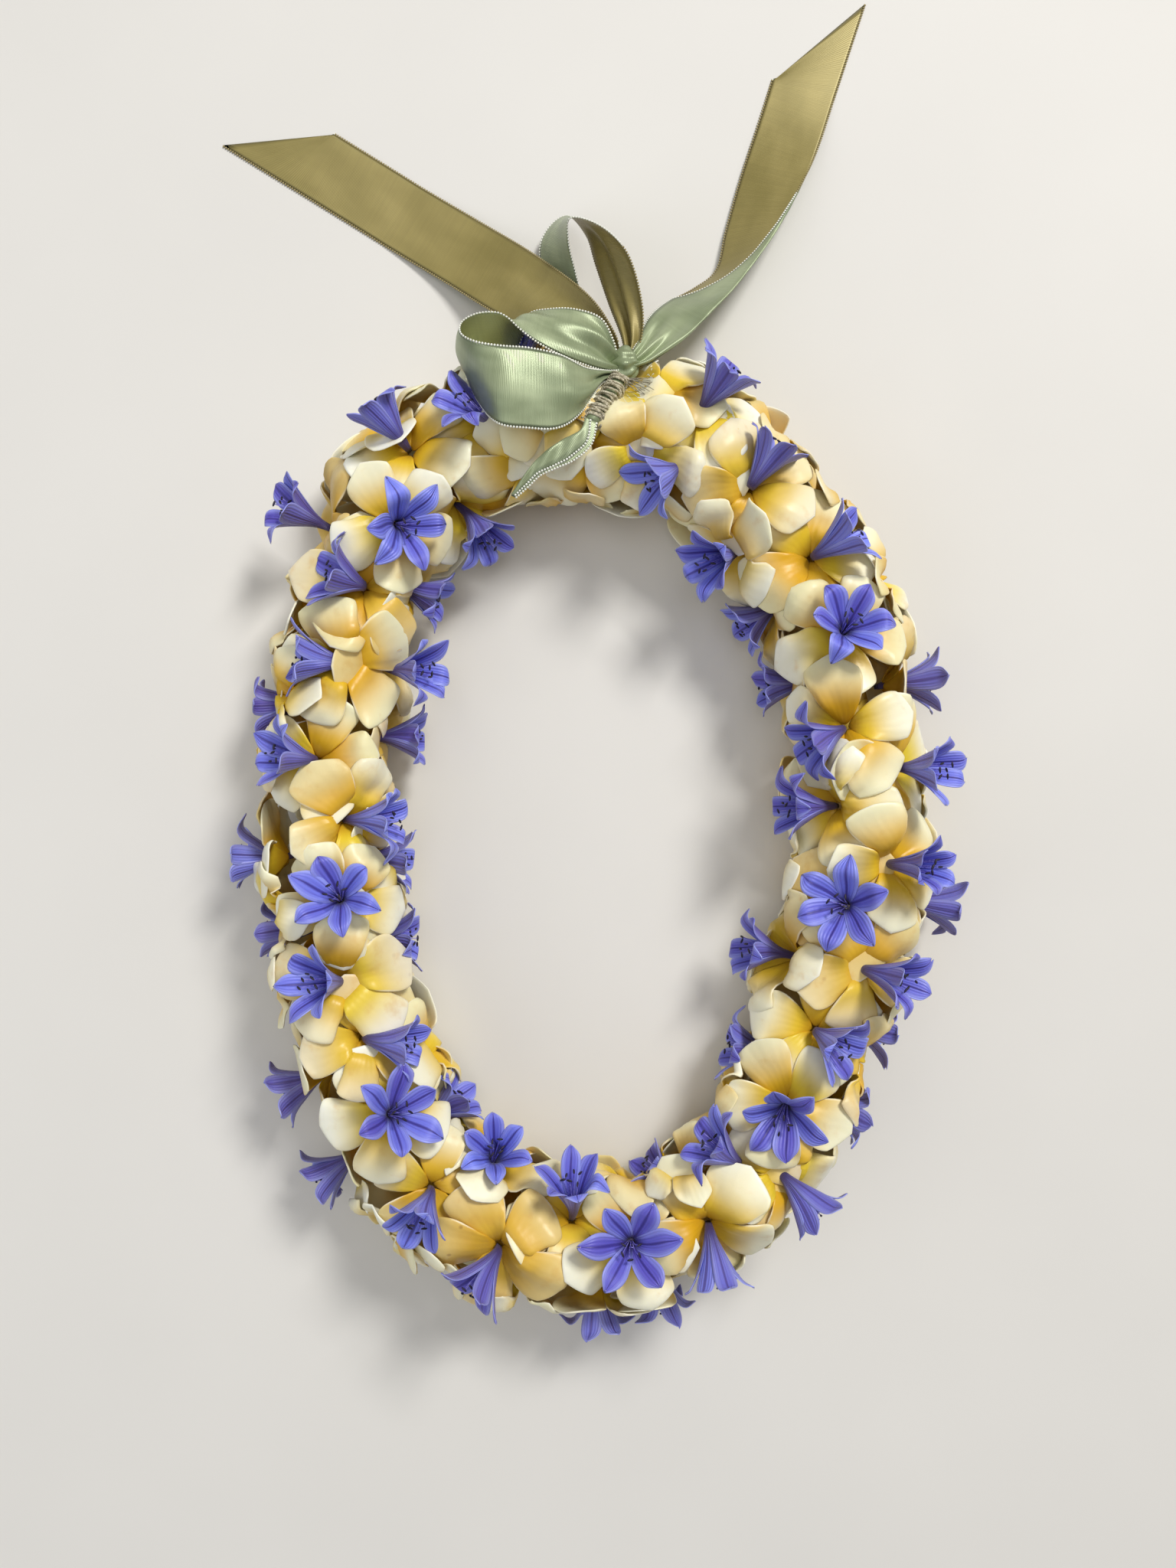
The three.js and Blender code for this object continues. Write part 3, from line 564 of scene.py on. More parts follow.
def cream_petal():
    n = Nodes("cream_petal")
    along, across, tint, age = (n.mark(k) for k in ("along", "across", "tint", "age"))
    blotch, soft = n.noise(110, 4), n.noise(40, 2)
    inner = n.plus(along, n.times(n.math("SUBTRACT", soft, 0.5), 0.3))
    pale, yellow = n.mix(tint, "f3edbc", "f9faf0"), n.mix(tint, "dba416", "ecd138")
    edge = n.math("ABSOLUTE", across)
    flush = n.times(n.ramp(edge, 0.45, 0.9), n.ramp(along, 0.35, 0.8))
    # A whiter rim along the sides and at the tip: painted highlight where the petal's edge catches
    # the light.
    rim = n.math("MAXIMUM", n.ramp(edge, 0.9, 0.99), n.ramp(along, 0.955, 0.995))
    spots = n.add("TexVoronoi", dict(Scale=55.0, Vector=n.place()), "Distance")
    bruise = n.times(n.ramp(spots, 0.09, 0.03), n.ramp(age, 0.5, 0.9))
    colour = n.over(
        n.mix(n.ramp(inner, 0.24, 1.0), yellow, pale),
        (n.ramp(age, 0.4, 0.9, 0.0, 0.65), "dfb648"),
        (n.times(flush, 0.14), "e6cc78"),
        (n.times(rim, 0.65), "fcf8e6"),
        (n.ramp(n.plus(blotch, n.times(age, 0.16)), 0.62, 0.86, 0.0, 0.35), "d6a648"),
        # Deep amber at the foot: partly the bloom's own yellow centre, partly painted shade deep in
        # the throat.
        (n.ramp(along, 0.26, 0.02, 0.0, 0.85), "c8981f"),
        (n.times(bruise, 0.5), "8c5a2a"),
    )
    vein = n.wave(n.plus(across, n.times(soft, 0.5)), 22.0)
    n.bump(n.plus(n.times(vein, 0.3), n.noise(380, 4)), 0.00014, 0.5)
    gloss = n.ramp(blotch, 0.3, 0.7, 0.34, 0.46)
    return n.set(Base_Color=colour, Roughness=gloss, Subsurface_Weight=0.08, Subsurface_Scale=0.002,
                 Subsurface_Radius=(1.0, 0.85, 0.4), Specular_IOR_Level=0.45)


def speckled(name, low, high, patches, grain, bump, roughness):
    """A matt material of two colours in soft patches, with a fine grain."""
    n = Nodes(name)
    colour = n.mix(n.ramp(n.noise(*patches), 0.35, 0.65), low, high)
    n.bump(n.noise(*grain), *bump)
    return n.set(Base_Color=colour, Roughness=roughness)


def violet_petal():
    n = Nodes("violet_petal")
    along, across, tint = (n.mark(k) for k in ("along", "across", "tint"))
    edge = n.math("ABSOLUTE", across)
    veins = n.ramp(n.wave(across, 17.0), 0.2, 1.0, 0.0, 0.35)
    stripe = n.ramp(edge, n.ramp(along, 0.25, 1.0, 0.26, 0.1), 0.02)
    tip = n.times(n.ramp(along, 0.97, 0.995), n.ramp(edge, 0.5, 0.2))
    colour = n.over(
        n.mix(tint, "5c52be", "808cf8"),
        (n.ramp(edge, 0.35, 1.0, 0.0, 0.55), "b0bafe"),
        (n.times(veins, n.ramp(along, 0.95, 0.4)), "43389c"),
        (n.times(stripe, 0.9), "372b86"),
        # Darkest near the foot: painted shade in the throat.
        (n.ramp(along, 0.52, 0.16), "2b2058"),
        (n.ramp(n.mark("lower"), 0.4, 0.6, 0.0, 0.3), "6a5f9e"),
        (n.times(tip, 0.8), "f0ecfa"),
    )
    n.bump(n.plus(n.wave(across, 24.0), n.noise(500, 3)), 0.00016, 0.6)
    return n.set(Base_Color=colour, Roughness=0.45, Subsurface_Weight=0.06, Subsurface_Scale=0.002,
                 Sheen_Weight=0.12, Sheen_Roughness=0.4)


def satin(name, base, light, deep, roughness):
    n = Nodes(name)
    run, wide = n.mark("run_mm"), n.mark("wide_mm")
    threads = n.wave(run, 8.0)
    # Soft clouds from base to light are painted sheen, and the streaks towards deep are painted
    # sheen streaks; both edges turn darker within their last two millimetres.
    sheen_streak = n.noise(1.0, 3, n.joined(n.times(run, 0.7), n.times(wide, 0.02)))
    sheen_cloud = n.noise(1.0, 2, n.joined(n.times(run, 0.03), n.times(wide, 0.06), 3.0))
    off = n.math("ABSOLUTE", n.math("SUBTRACT", wide, RIBBON_WIDTH / 2))
    colour = n.over(
        n.mix(n.ramp(sheen_cloud, 0.3, 0.7), base, light),
        (n.ramp(sheen_streak, 0.3, 0.7, 0.0, 0.12), deep),
        (n.ramp(off, 17.0, 18.0, 0.0, 0.5), deep),
    )
    n.bump(n.plus(threads, n.times(sheen_streak, 0.6)), 0.00006, 0.5)
    gloss = n.ramp(sheen_cloud, 0.3, 0.7, roughness, roughness + 0.06)
    return n.set(Base_Color=colour, Roughness=gloss, Sheen_Weight=0.1, Sheen_Roughness=0.3,
                 Specular_IOR_Level=0.8, Metallic=0.3)


def picot_thread():
    n = Nodes("picot_thread")
    white = n.mix(n.noise(900, 2), "e2e6d6", "fcfcf6")
    # Golden where it runs beside a face with painted warm reflection: painted reflection on the
    # thread too.
    colour = n.mix(n.times(n.mark("golden"), 0.9), white, "93803f")
    n.bump(n.noise(2500, 2), 0.0001, 0.6)
    return n.set(Base_Color=colour, Roughness=0.6)


def twine_fibre():
    n = Nodes("twine_fibre")
    fibres = n.wave(n.mark("run"), 900.0)
    colour = n.mix(n.ramp(n.noise(700, 4), 0.3, 0.7), "8d8468", "d8d0b8")
    n.bump(n.plus(fibres, n.noise(2000, 3)), 0.00015, 0.8)
    return n.set(Base_Color=colour, Roughness=0.85, Sheen_Weight=0.2)


def cotton():
    n = Nodes("cotton_string")
    n.bump(n.noise(1600, 3), 0.0002, 0.7)
    return n.set(Base_Color=n.mix(n.noise(400, 3), "cfc8b0", "efeadb"), Roughness=0.9)


def paper_floor():
    n = Nodes("pale_floor")
    return n.set(Base_Color=n.mix(n.noise(6, 3), "dcdad6", "e4e2de"), Roughness=0.75)


# One petal is a disc bent into shape, from a square grid whose corners are drawn in. The grid is
# finer near its rim, where the thickness rounds off.
GRID, CORNER, RIM_SHARE = 15, 0.43, 0.12
ticks = np.sin(np.linspace(-1, 1, GRID) * math.pi / 2)
GRID_A, GRID_B = np.meshgrid(ticks, ticks, indexing="ij")
DISC_X = GRID_A * np.sqrt(1 - CORNER * GRID_B ** 2)
DISC_Y = GRID_B * np.sqrt(1 - CORNER * GRID_A ** 2)
AHEAD = (DISC_Y + 1) / 2
RIM = 1 - np.maximum(abs(GRID_A), abs(GRID_B))
RIM_TURN = np.arctan2(GRID_A, GRID_B)
ROUND = np.sqrt(1 - (1 - np.minimum(RIM / RIM_SHARE, 1)) ** 2)
PETAL_FACES, PETAL_INNER = shell_faces(GRID, GRID)
PETAL_SHARE = 0.12 + 0.88 * smoothstep(0.0, 0.9, AHEAD)
PETAL_AHEAD, PETAL_ACROSS = both_sides(AHEAD, PETAL_INNER), both_sides(DISC_X, PETAL_INNER)

# Height of a petal over the string, by how far it is from the axis of its bloom.
PETAL_OUT = [0, 3, 7, 11, 17, 24, 32]
PETAL_UP = [19, 22, 26, 28.5, 30.3, 31.2, 31]


def rising(low, high):
    """A share that rises from 0 to 1 between two places along a petal."""
    return smoothstep(low, high, AHEAD)


def curl_sides(off, half, bend):
    """Rolls back what lies beyond a share of the half width: the new offset, and the drop."""
    flat = CURL_FROM * half
    beyond = np.maximum(abs(off) - flat, 0)
    angle = np.maximum(bend * beyond / np.maximum(half * (1 - CURL_FROM), 1e-6), 1e-6)
    kept = np.minimum(abs(off), flat) + beyond * np.sin(angle) / angle
    return np.sign(off) * kept, beyond * (1 - np.cos(angle)) / angle


def cream_petal_form(long):
    """One petal in its own axes: how far out, how far off to the side, and its height."""
    half = long * rand(0.49, 0.57)
    rolled = rng.random_sample(2) < 0.25
    bends = np.where(rolled, rand(1.2, 2.1, 2), rand(-0.45, 0.8, 2))
    lift = rand(-1.5, 3.0)
    tip = rand(-2.0, 5.0)
    swell = rand(-1.8, 0.8)
    point = rand(0.5, 4.5)
    width = half * (0.3 + 0.78 * AHEAD ** 0.95)
    out = 1.5 + (long - 1.5) * AHEAD ** 0.92
    out += point * (1 - abs(DISC_X)) ** 2 * rising(0.72, 1.0)
    off = DISC_X * width
    bend = np.where(DISC_X < 0, bends[0], bends[1]) * rising(0.2, 0.62)
    off, drop = curl_sides(off, width, abs(bend))
    height = np.interp(out, PETAL_OUT, PETAL_UP) - drop * np.sign(bend)
    height += lift * rising(0.2, 1.0)
    height -= rand(1.2, 2.8) * DISC_X * rising(0.1, 0.5)
    height -= tip * rising(0.7, 1.0) ** 1.5
    height += swell * np.sin(math.pi * AHEAD) * (1 - DISC_X ** 2)
    wavy = rand(0.2, 0.8) * np.sin(rng.randint(3, 6) * RIM_TURN + rand(0, 6))
    height += wavy * smoothstep(0.45, 0.0, RIM) * rising(0.3, 0.7)
    off += rand(-0.12, 0.12) * long * AHEAD ** 2
    return out, off, height


def cream_mids(bloom):
    """The middle surfaces of the five petals of one bloom, and how each of them varies."""
    place = bloom_frame(bloom)
    lying = (0.0, 0.0)
    if bloom["aim"] is not None:
        lying = (bloom["aim"] @ place["side"], bloom["aim"] @ place["fore"])
    step = 2 * math.pi / PETALS
    drop = UNDER_DROP if bloom["under"] else bloom.get("drop", 0.0)
    bloom_age = rng.random_sample() ** 2.2
    mids, looks = [], []
    for i in range(PETALS):
        turn, reach, _ = bloom["petals"][i % len(bloom["petals"])]
        middle = bloom["twist"] + i * step + turn
        out, off, height = cream_petal_form(PETAL_REACH * bloom["size"] * reach)
        height = height + drop
        x = out * math.cos(middle) - off * math.sin(middle)
        y = out * math.sin(middle) + off * math.cos(middle)
        reach_xy = np.maximum(np.hypot(x, y), 1e-6)
        c, s = x / reach_xy, y / reach_xy
        height -= (CROSS_BEND * c * c + ALONG_BEND * s * s) * reach_xy ** 2
        dip = DIP_THROAT + (DIP_PETAL - DIP_THROAT) * smoothstep(8, 20, reach_xy)
        height -= dip * np.maximum(0, c * lying[0] + s * lying[1]) * smoothstep(3, 10, reach_xy)
        mid = place["at"] + x[..., None] * place["side"] + y[..., None] * place["fore"]
        mids.append(mid + height[..., None] * place["axis"])
        looks.append((rand(0, 1), 0.7 * bloom_age + 0.3 * rng.random_sample()))
    return np.array(mids), looks, place["axis"]


def filler_bloom(pile):
    """A small bloom for the barest place on the flanks, or None when they are covered."""
    bare = np.clip(BARE_REACH - pile.top, 0, BARE_MOST)
    patch = [np.roll(bare, (i, j), (0, 1)) for i in PATCH_ALONG for j in PATCH_ROUND]
    spread = sum(patch) / len(patch)
    turn = np.arange(pile.ROUND_CELLS) * 2 * math.pi / pile.ROUND_CELLS
    turn = np.where(turn > math.pi, turn - 2 * math.pi, turn)
    spread[:, (abs(turn) < FLANK[0]) | (abs(turn) > FLANK[1])] = 0
    i, j = np.unravel_index(np.argmax(spread), spread.shape)
    if spread[i, j] < FILL_ABOVE:
        return None
    return dict(u=ROUTE_U[i], roll=turn[j], lean=rand(-0.2, 0.2), sink=0.0, under=False,
                aim=None, open=0, low=1, drop=FILLER_DROP, twist=rand(0, 2 * math.pi),
                size=rand(0.78, 0.92),
                petals=[[rand(-0.15, 0.15), rand(0.85, 1.05), 0]
                        for _ in range(PETALS)])


class Pile:
    """How far out the flowers already reach, by place along the string and angle about it."""

    ROUND_CELLS = 104
    GAP = 0.9
    BEND = 7.0

    def __init__(self):
        self.top = np.zeros((len(ROUTE_U), self.ROUND_CELLS))

    def cells(self, points):
        flat = points.reshape(-1, 3)
        x, y = flat[:, :1], flat[:, 1:2]
        near = np.argmin(np.hypot(x - ROUTE_LINE[:, 0], y - ROUTE_LINE[:, 1]), axis=1)
        rel = flat - ROUTE_LINE[near]
        inward = np.einsum("nc,nc->n", rel, ROUTE_INWARD[near])
        turn = np.arctan2(inward, rel[:, 2]) / (2 * math.pi) % 1
        cell = (turn * self.ROUND_CELLS).astype(int) % self.ROUND_CELLS
        return near, cell, np.hypot(inward, rel[:, 2])

    def need(self, points):
        i, j, reach = self.cells(points)
        return (self.top[i, j] + self.GAP - reach).reshape(points.shape[:-1])

    def lift(self, mid, axis, share, side, most):
        """Tips one petal up, then bends it where it still stands below what is there."""
        mid = tip(mid, axis, self.need(mid), share, side, most, LIFT_PERCENT)
        bend = np.minimum(spread_need(self.need(mid)), self.BEND) * np.minimum(3 * share, 1)
        return mid + bend[..., None] * axis

    def add(self, mids):
        fine = (mids[:, :-1] + mids[:, 1:]) / 2
        fine = np.concatenate([mids, np.concatenate([fine, mids[:, :1]], axis=1)], axis=0)
        across = (fine[:, :, :-1] + fine[:, :, 1:]) / 2
        i, j, reach = self.cells(np.concatenate([fine.reshape(-1, 3), across.reshape(-1, 3)]))
        np.maximum.at(self.top, (i, j), reach)


class Floret:
    """The frame of one violet floret: its bent axis, and the size of its mouth."""

    def __init__(self, bloom):
        place = bloom_frame(bloom)
        self.bloom, self.aim, self.axis = bloom, bloom["aim"], place["axis"]
        side = np.cross(self.aim, place["axis"])
        if np.linalg.norm(side) < 0.05:
            side = place["side"]
        self.side = unit(side)
        self.fore = unit(np.cross(self.aim, self.side))
        self.throat = place["throat"]
        size = bloom["size"]
        self.radius = (CLOSED_RADIUS + OPEN_RADIUS * bloom["open"]) * size
        self.radius *= FULLER - 0.15 * bloom["open"]
        self.height = floret_height(bloom["open"]) * (1 if bloom["low"] else LONGER)

    def at(self, angle, radius, height):
        up = 0.5 * (height + np.sqrt(height ** 2 + 4))
        down = up - height
        ray = np.cos(angle)[..., None] * self.side + np.sin(angle)[..., None] * self.fore
        centre = self.throat + up[..., None] * self.aim - down[..., None] * self.axis
        return centre + radius[..., None] * ray


def through(values, s):
    """A smooth line through five values at even steps."""
    fine = catmull(np.array(values, float)[:, None], 16)[:, 0]
    return np.interp(s, np.linspace(0, 1, len(fine)), fine)


# A tepal's grid: rows from foot to tip, closer near the tip, and columns across it.
TEPAL_ROWS, TEPAL_COLS = 19, 9
TEPAL_FACES, TEPAL_INNER = shell_faces(TEPAL_ROWS, TEPAL_COLS)
TEPAL_S = 1 - (1 - np.linspace(0, 1, TEPAL_ROWS)) ** 1.25
TEPAL_X = np.sin(np.linspace(-1, 1, TEPAL_COLS) * math.pi / 2)
TEPAL_SHARE = np.repeat(smoothstep(0.15, 0.9, TEPAL_S)[:, None], TEPAL_COLS, axis=1)
TEPAL_SIDE = np.repeat(TEPAL_X[None], TEPAL_ROWS, axis=0)
rim = np.minimum(1 - abs(TEPAL_X), np.minimum(TEPAL_S, 1 - TEPAL_S)[:, None] * 6)
TEPAL_ROUND = np.sqrt(1 - (1 - np.clip(rim / 0.2, 0, 1)) ** 2)
TEPAL_MARKS = dict(
    along=both_sides(np.repeat(TEPAL_S[:, None], TEPAL_COLS, axis=1), TEPAL_INNER),
    across=both_sides(TEPAL_SIDE, TEPAL_INNER),
    lower=np.repeat([0.0, 1.0], [TEPAL_INNER.size, TEPAL_INNER.sum()]),
)
BEAD_VERTS, BEAD_FACES = bead()
STAMEN_STEPS = 12


def tepal_mid(floret, i, turn, reach, curl):
    """The middle surface of one tepal: its way out, height and width run through five values."""
    radius, height = floret.radius, floret.height
    middle = floret.bloom["twist"] + i * 2 * math.pi / TEPALS
    s, x = TEPAL_S[:, None], TEPAL_X[None, :]
    back = rand(-0.6, 3.2) + (4.5 if rng.random_sample() < 0.22 else 0)
    jut = rand(-0.6, 1.6)
    mouth = radius * reach + jut + 0.4 * max(back, 0)
    r = through([1.2, 2.8, 0.43 * radius, 0.77 * radius, mouth], s)
    h = through([-9, 2.5, 0.50 * height, 0.85 * height, height + curl - 0.8 - back], s)
    wide = through([1.1, 2.2, 4.8, 6.1, 4.6], s)
    wide = wide * math.sqrt(radius / 17) * rand(0.9, 1.12)
    wide = wide * (1 - np.maximum((s - 0.6) / 0.4, 0) ** 2.0) ** 0.75
    outer = i % 2
    r = r + (0.45 if outer else -0.35) * smoothstep(0.2, 0.5, s)
    h = h - 0.5 * outer * smoothstep(0.8, 1.0, s)
    turn = turn + rand(-0.16, 0.16)
    q = x * wide
    ruffle = rand(-1, 1)
    rolled = rand(-0.8, 1.6)
    waves = 0.35 * ruffle * np.sin(5 * s * math.pi) * x
    r = r + smoothstep(0.35, 0.8, s) * (rolled * x ** 2 + waves)
    h = h + smoothstep(0.5, 0.9, s) * 0.6 * ruffle * x
    angle = middle + turn * smoothstep(0.3, 0.8, s) + q / np.maximum(r, 1.0)
    return floret.at(*np.broadcast_arrays(angle, r, h))


def settle(points):
    """Keeps a floret off the table, under the ribbon, and under the height of the part."""
    points = press(keep_below(points, guards, *FLORET_SLOPE))
    points[..., 2] = np.minimum(points[..., 2], HIGHEST)
    return points


def add_floret(builder, bloom):
    """One floret: six tepals, then six stamens with their anthers, then the style."""
    floret = Floret(bloom)
    blue = rand(0.15, 0.85)
    for i, (turn, reach, curl) in enumerate(bloom["tepals"]):
        mid = tepal_mid(floret, i, turn, reach, curl)
        if not bloom["low"]:
            mid = pile.lift(mid, floret.axis, TEPAL_SHARE, TEPAL_SIDE, TEPAL_LIFT_MOST)
        mid = settle(mid)
        verts = shell(mid, TEPAL_T * TEPAL_ROUND, TEPAL_INNER)
        tint = np.clip(blue + rand(-0.3, 0.3), 0, 1)
        builder.add(verts, TEPAL_FACES, 0, tint=tint, **TEPAL_MARKS)
    down = -UP + floret.aim * floret.aim[2]
    down = unit(floret.side if np.linalg.norm(down) < 0.2 else down)
    s = np.linspace(0, 1, STAMEN_STEPS)
    sag = (1.9 * s ** 1.4 - 1.3 * s ** 5)[:, None] * down * (floret.radius / 15)
    for k in range(TEPALS + 1):
        style = k == TEPALS
        angle = bloom["twist"] + (k + 0.5) * 2 * math.pi / TEPALS
        reach = floret.height * (rand(0.72, 0.92) if not style else 0.7)
        radius = 0.8 + (0.14 * floret.radius + rand(0, 1.4)) * s ** 1.5
        radius *= 0.3 if style else 1
        line = floret.at(np.full(STAMEN_STEPS, angle), radius, -4 + (reach + 4) * s)
        line = settle(line + sag)
        tube(builder, line, 0.34 - 0.1 * s, 5, 1)
        if style:
            continue
        ahead = unit(line[-1] - line[-2])
        first = unit(np.cross(ahead, rng.normal(size=3)))
        frame = np.array([first * 1.7, ahead * 0.62, np.cross(first, ahead) * 0.62])
        stamp(builder, BEAD_VERTS, BEAD_FACES, line[-1], frame[None], 2)


# Petals and florets make room for each other and for the ribbon.
def tip(mid, axis, need, share, side, most, percent):
    """Tips a petal about its foot by what its points need, each side of it by its own need."""
    wanted = need / np.maximum(share, 0.1)
    lifts = [np.clip(np.percentile(wanted[half & (share > 0.3)], percent), 0, most)
             for half in (side <= 0, side >= 0)]
    tilt = lifts[0] + (lifts[1] - lifts[0]) * (side + 1) / 2
    return mid + (tilt * share)[..., None] * axis


def spread_need(need):
    """What each point needs, taken from its neighbours too, and made smooth."""
    padded = np.pad(np.maximum(need, 0), 1, mode="edge")
    rows, cols = need.shape
    wide = np.max([padded[i:i + rows, j:j + cols] for i in range(3) for j in range(3)], axis=0)
    for _ in range(2):
        padded = np.pad(wide, 1, mode="edge")
        beside = padded[:-2, 1:-1] + padded[2:, 1:-1] + padded[1:-1, :-2] + padded[1:-1, 2:]
        wide = (2 * wide + beside) / 6
    return wide


def in_trumpet(points, floret):
    """Where points stand in a floret's trumpet: height, way out, and the trumpet's radius there."""
    rel = points - floret.throat
    h = rel @ floret.aim
    radial = rel - h[..., None] * floret.aim
    grown = np.clip(h / (0.9 * floret.height), 0, 1) ** 1.15
    return h, radial, TRUMPET_FOOT + (floret.radius - TRUMPET_LESS) * grown


def dip(mid, axis, florets):
    """Tips a petal down until it lies under the florets that lean over it, then shrinks it."""
    need = np.zeros(AHEAD.shape)
    centre = mid.mean((0, 1))
    close = [f for f in florets
             if np.linalg.norm(centre - f.throat - f.aim * f.height / 2) < DIP_NEAR]
    for floret in close:
        raw = -axis + floret.aim * (axis @ floret.aim)
        steep = np.linalg.norm(raw)
        if steep < LEAST_LEAN:
            continue
        h, radial, spread = in_trumpet(mid, floret)
        across = radial @ (raw / steep)
        beside = (radial ** 2).sum(-1) - across ** 2
        depth = np.sqrt(np.maximum(spread ** 2 - beside, 0)) - across
        inside = (h > 1) & (h < floret.height + 3) & (beside < spread ** 2) & (across > -spread)
        need = np.maximum(need, np.where(inside & (depth > 0), depth / steep, 0))
    mid = tip(mid, -axis, need, PETAL_SHARE, DISC_X, DIP_MOST, DIP_PERCENT)
    foot = mid[GRID // 2, 0]
    for _ in range(MOST_SHRINKS):
        blocked = 0
        for floret in close:
            h, radial, spread = in_trumpet(mid, floret)
            inside = (h > 0.25 * floret.height) & (h < floret.height + 12)
            blocked += (inside & (np.linalg.norm(radial, axis=-1) < 0.85 * spread)).mean()
        if blocked < MOST_BLOCKED:
            break
        mid = foot + (mid - foot) * SHRINK
    return mid


def keep_below(points, guards, slope, side):
    """Lowers points that stand over the underside of the ribbon, with a soft slope beside it."""
    flat = points.reshape(-1, 3).copy()
    low, high = guards.min(0)[:2] - side, guards.max(0)[:2] + side
    near = np.all((flat[:, :2] > low) & (flat[:, :2] < high), axis=1)
    if near.any():
        beside = np.linalg.norm(flat[near][:, None, :2] - guards[None, :, :2], axis=2)
        limit = guards[:, 2] - GUARD_CLEAR + slope * np.maximum(beside - GUARD_REACH, 0)
        flat[near, 2] = np.minimum(flat[near, 2], limit.min(1))
    return flat.reshape(points.shape)


# Ribbon: a strip between two edges, gathered where its edges come closer than its width.
def point_of(px):
    return np.array([*plan_of(px[:2], px[2]), px[2]])


def edge_lines(stations):
    edges = np.array([[point_of(row[:3]), point_of(row[3:])] for row in stations])
    lines = catmull(edges, STATION_STEPS)
    lines[..., 2] = np.maximum(lines[..., 2], RIBBON_LOWEST)
    return lines[:, 0], lines[:, 1]


def run_along(line):
    """How far along a line each of its points is."""
    return np.concatenate([[0], np.cumsum(np.linalg.norm(np.diff(line, axis=0), axis=1))])


def strip_grid(stations, folds=2.0, calm=0.0, bulge=0.0):
    """A strip between two edges, folded along where it is gathered, calmer away from its ends."""
    a, b = edge_lines(stations)
    chord = np.linalg.norm(b - a, axis=1)
    along = unit(np.gradient(a + b, axis=0))
    normal = unit(np.cross(along, b - a))
    slack = np.maximum(RIBBON_WIDTH / np.maximum(chord, 1) - 1, 0)
    deep = np.minimum(chord / (math.pi * folds) * np.sqrt(slack) * 0.95, 4.0)
    run = run_along((a + b) / 2)
    from_end = np.minimum(run, run[-1] - run)
    deep *= 1 - calm * (1 - np.exp(-(from_end / 26) ** 2))
    t = np.linspace(0, 1, STRIP_COLS)
    wave = np.sin(2 * math.pi * folds * t) * np.sin(math.pi * t) ** 0.3
    grid = a[:, None] + (b - a)[:, None] * t[None, :, None]
    full = smoothstep(10, 34, from_end)[:, None] * np.sin(math.pi * t)
    swing = 1 + 0.22 * np.sin(0.16 * run[:, None] + 3.5 * t)
    grid = grid + (deep[:, None] * wave[None] + bulge * full * swing)[..., None] * normal[:, None]
    grid[..., 2] = np.maximum(grid[..., 2], 0.3)
    return grid, run, t * RIBBON_WIDTH


def folded_grid(stations, fold, thick, pleat=0.0, width=RIBBON_WIDTH):
    """A strip folded over along edge a: the flap's free edge first, then the crease, then b."""
    a, b = edge_lines(stations)
    run = run_along((a + b) / 2)
    share = np.interp(np.linspace(0, 1, len(a)), np.linspace(0, 1, len(fold)), fold)[:, None]
    t = np.linspace(0, 1, FOLDED_COLS)[None]
    from_crease = np.sqrt((t - share) ** 2 + 0.02 ** 2)
    over_chord = from_crease / np.maximum(share, 1 - share)
    grid = a[:, None] + (b - a)[:, None] * over_chord[..., None]
    begun = np.minimum(share / 0.06, 1)
    over = begun * (1 + np.tanh((share - t) / 0.05)) / 2
    ripple = np.sin(9 * t + 0.35 * np.arange(len(a))[:, None]) * smoothstep(0.25, 0.6, share)
    grid[..., 2] += (thick + 0.7 * ripple) * over
    near_knot = np.exp(-((run[-1] - run - 12) / 22) ** 2)[:, None] * np.sin(math.pi * t) ** 0.5
    grid[..., 2] += pleat * near_knot * np.sin(5 * math.pi * over_chord)
    return grid, run, t[0] * width


def add_strip(name, strip, looks, replaced, held, rests_on):
    """One sheet of ribbon with its two faces, and the picot thread along both of its edges."""
    grid, run, wide = strip
    builder = Builder()
    faces, inner = shell_faces(*grid.shape[:2])
    verts = shell(grid, np.full(grid.shape[:2], RIBBON_T), inner)
    run_grid, wide_grid = np.meshgrid(run, wide, indexing="ij")
    builder.add(verts, faces, np.repeat([0, 1], len(faces) // 2),
                run_mm=both_sides(run_grid, inner), wide_mm=both_sides(wide_grid, inner))
    piece = builder.make(name, looks, "ribbon_satin", [replaced])
    trim = Builder()
    # Along each edge the picots take the golden tint of painted warm reflection where that face
    # looks up.
    golden = [look is PAINTED_WARM_REFLECTION for look in looks]
    seen = np.where(grid_normals(grid)[..., 2] > 0, *golden).astype(float)
    for edge, next_in in ((0, 1), (-1, -2)):
        add_picots(trim, grid[:, edge], grid[:, next_in], seen[:, next_in])
    edge_piece = trim.make(name + "_picot", [PICOT], "ribbon_satin")


def add_picots(trim, line, next_in, golden):
    """A row of small thread loops along one edge of the ribbon."""
    length = run_along(line)
    spots = np.arange(PICOT_STEP / 2, length[-1], PICOT_STEP)

    def at(values, offset=0.0):
        return np.column_stack([np.interp(spots + offset, length, values[:, c]) for c in range(3)])

    ahead = unit(at(line, 0.3) - at(line))
    third = unit(np.cross(ahead, at(line - next_in)))
    outward = np.cross(third, ahead)
    place = at(line) + outward * 0.2
    place[:, 2] = np.maximum(place[:, 2], 0.5)
    frames = np.stack([ahead * 0.6, outward * 0.68, third * 0.5], 1)
    stamp(trim, *bead(4, 5), place, frames, golden=np.interp(spots, length, golden))


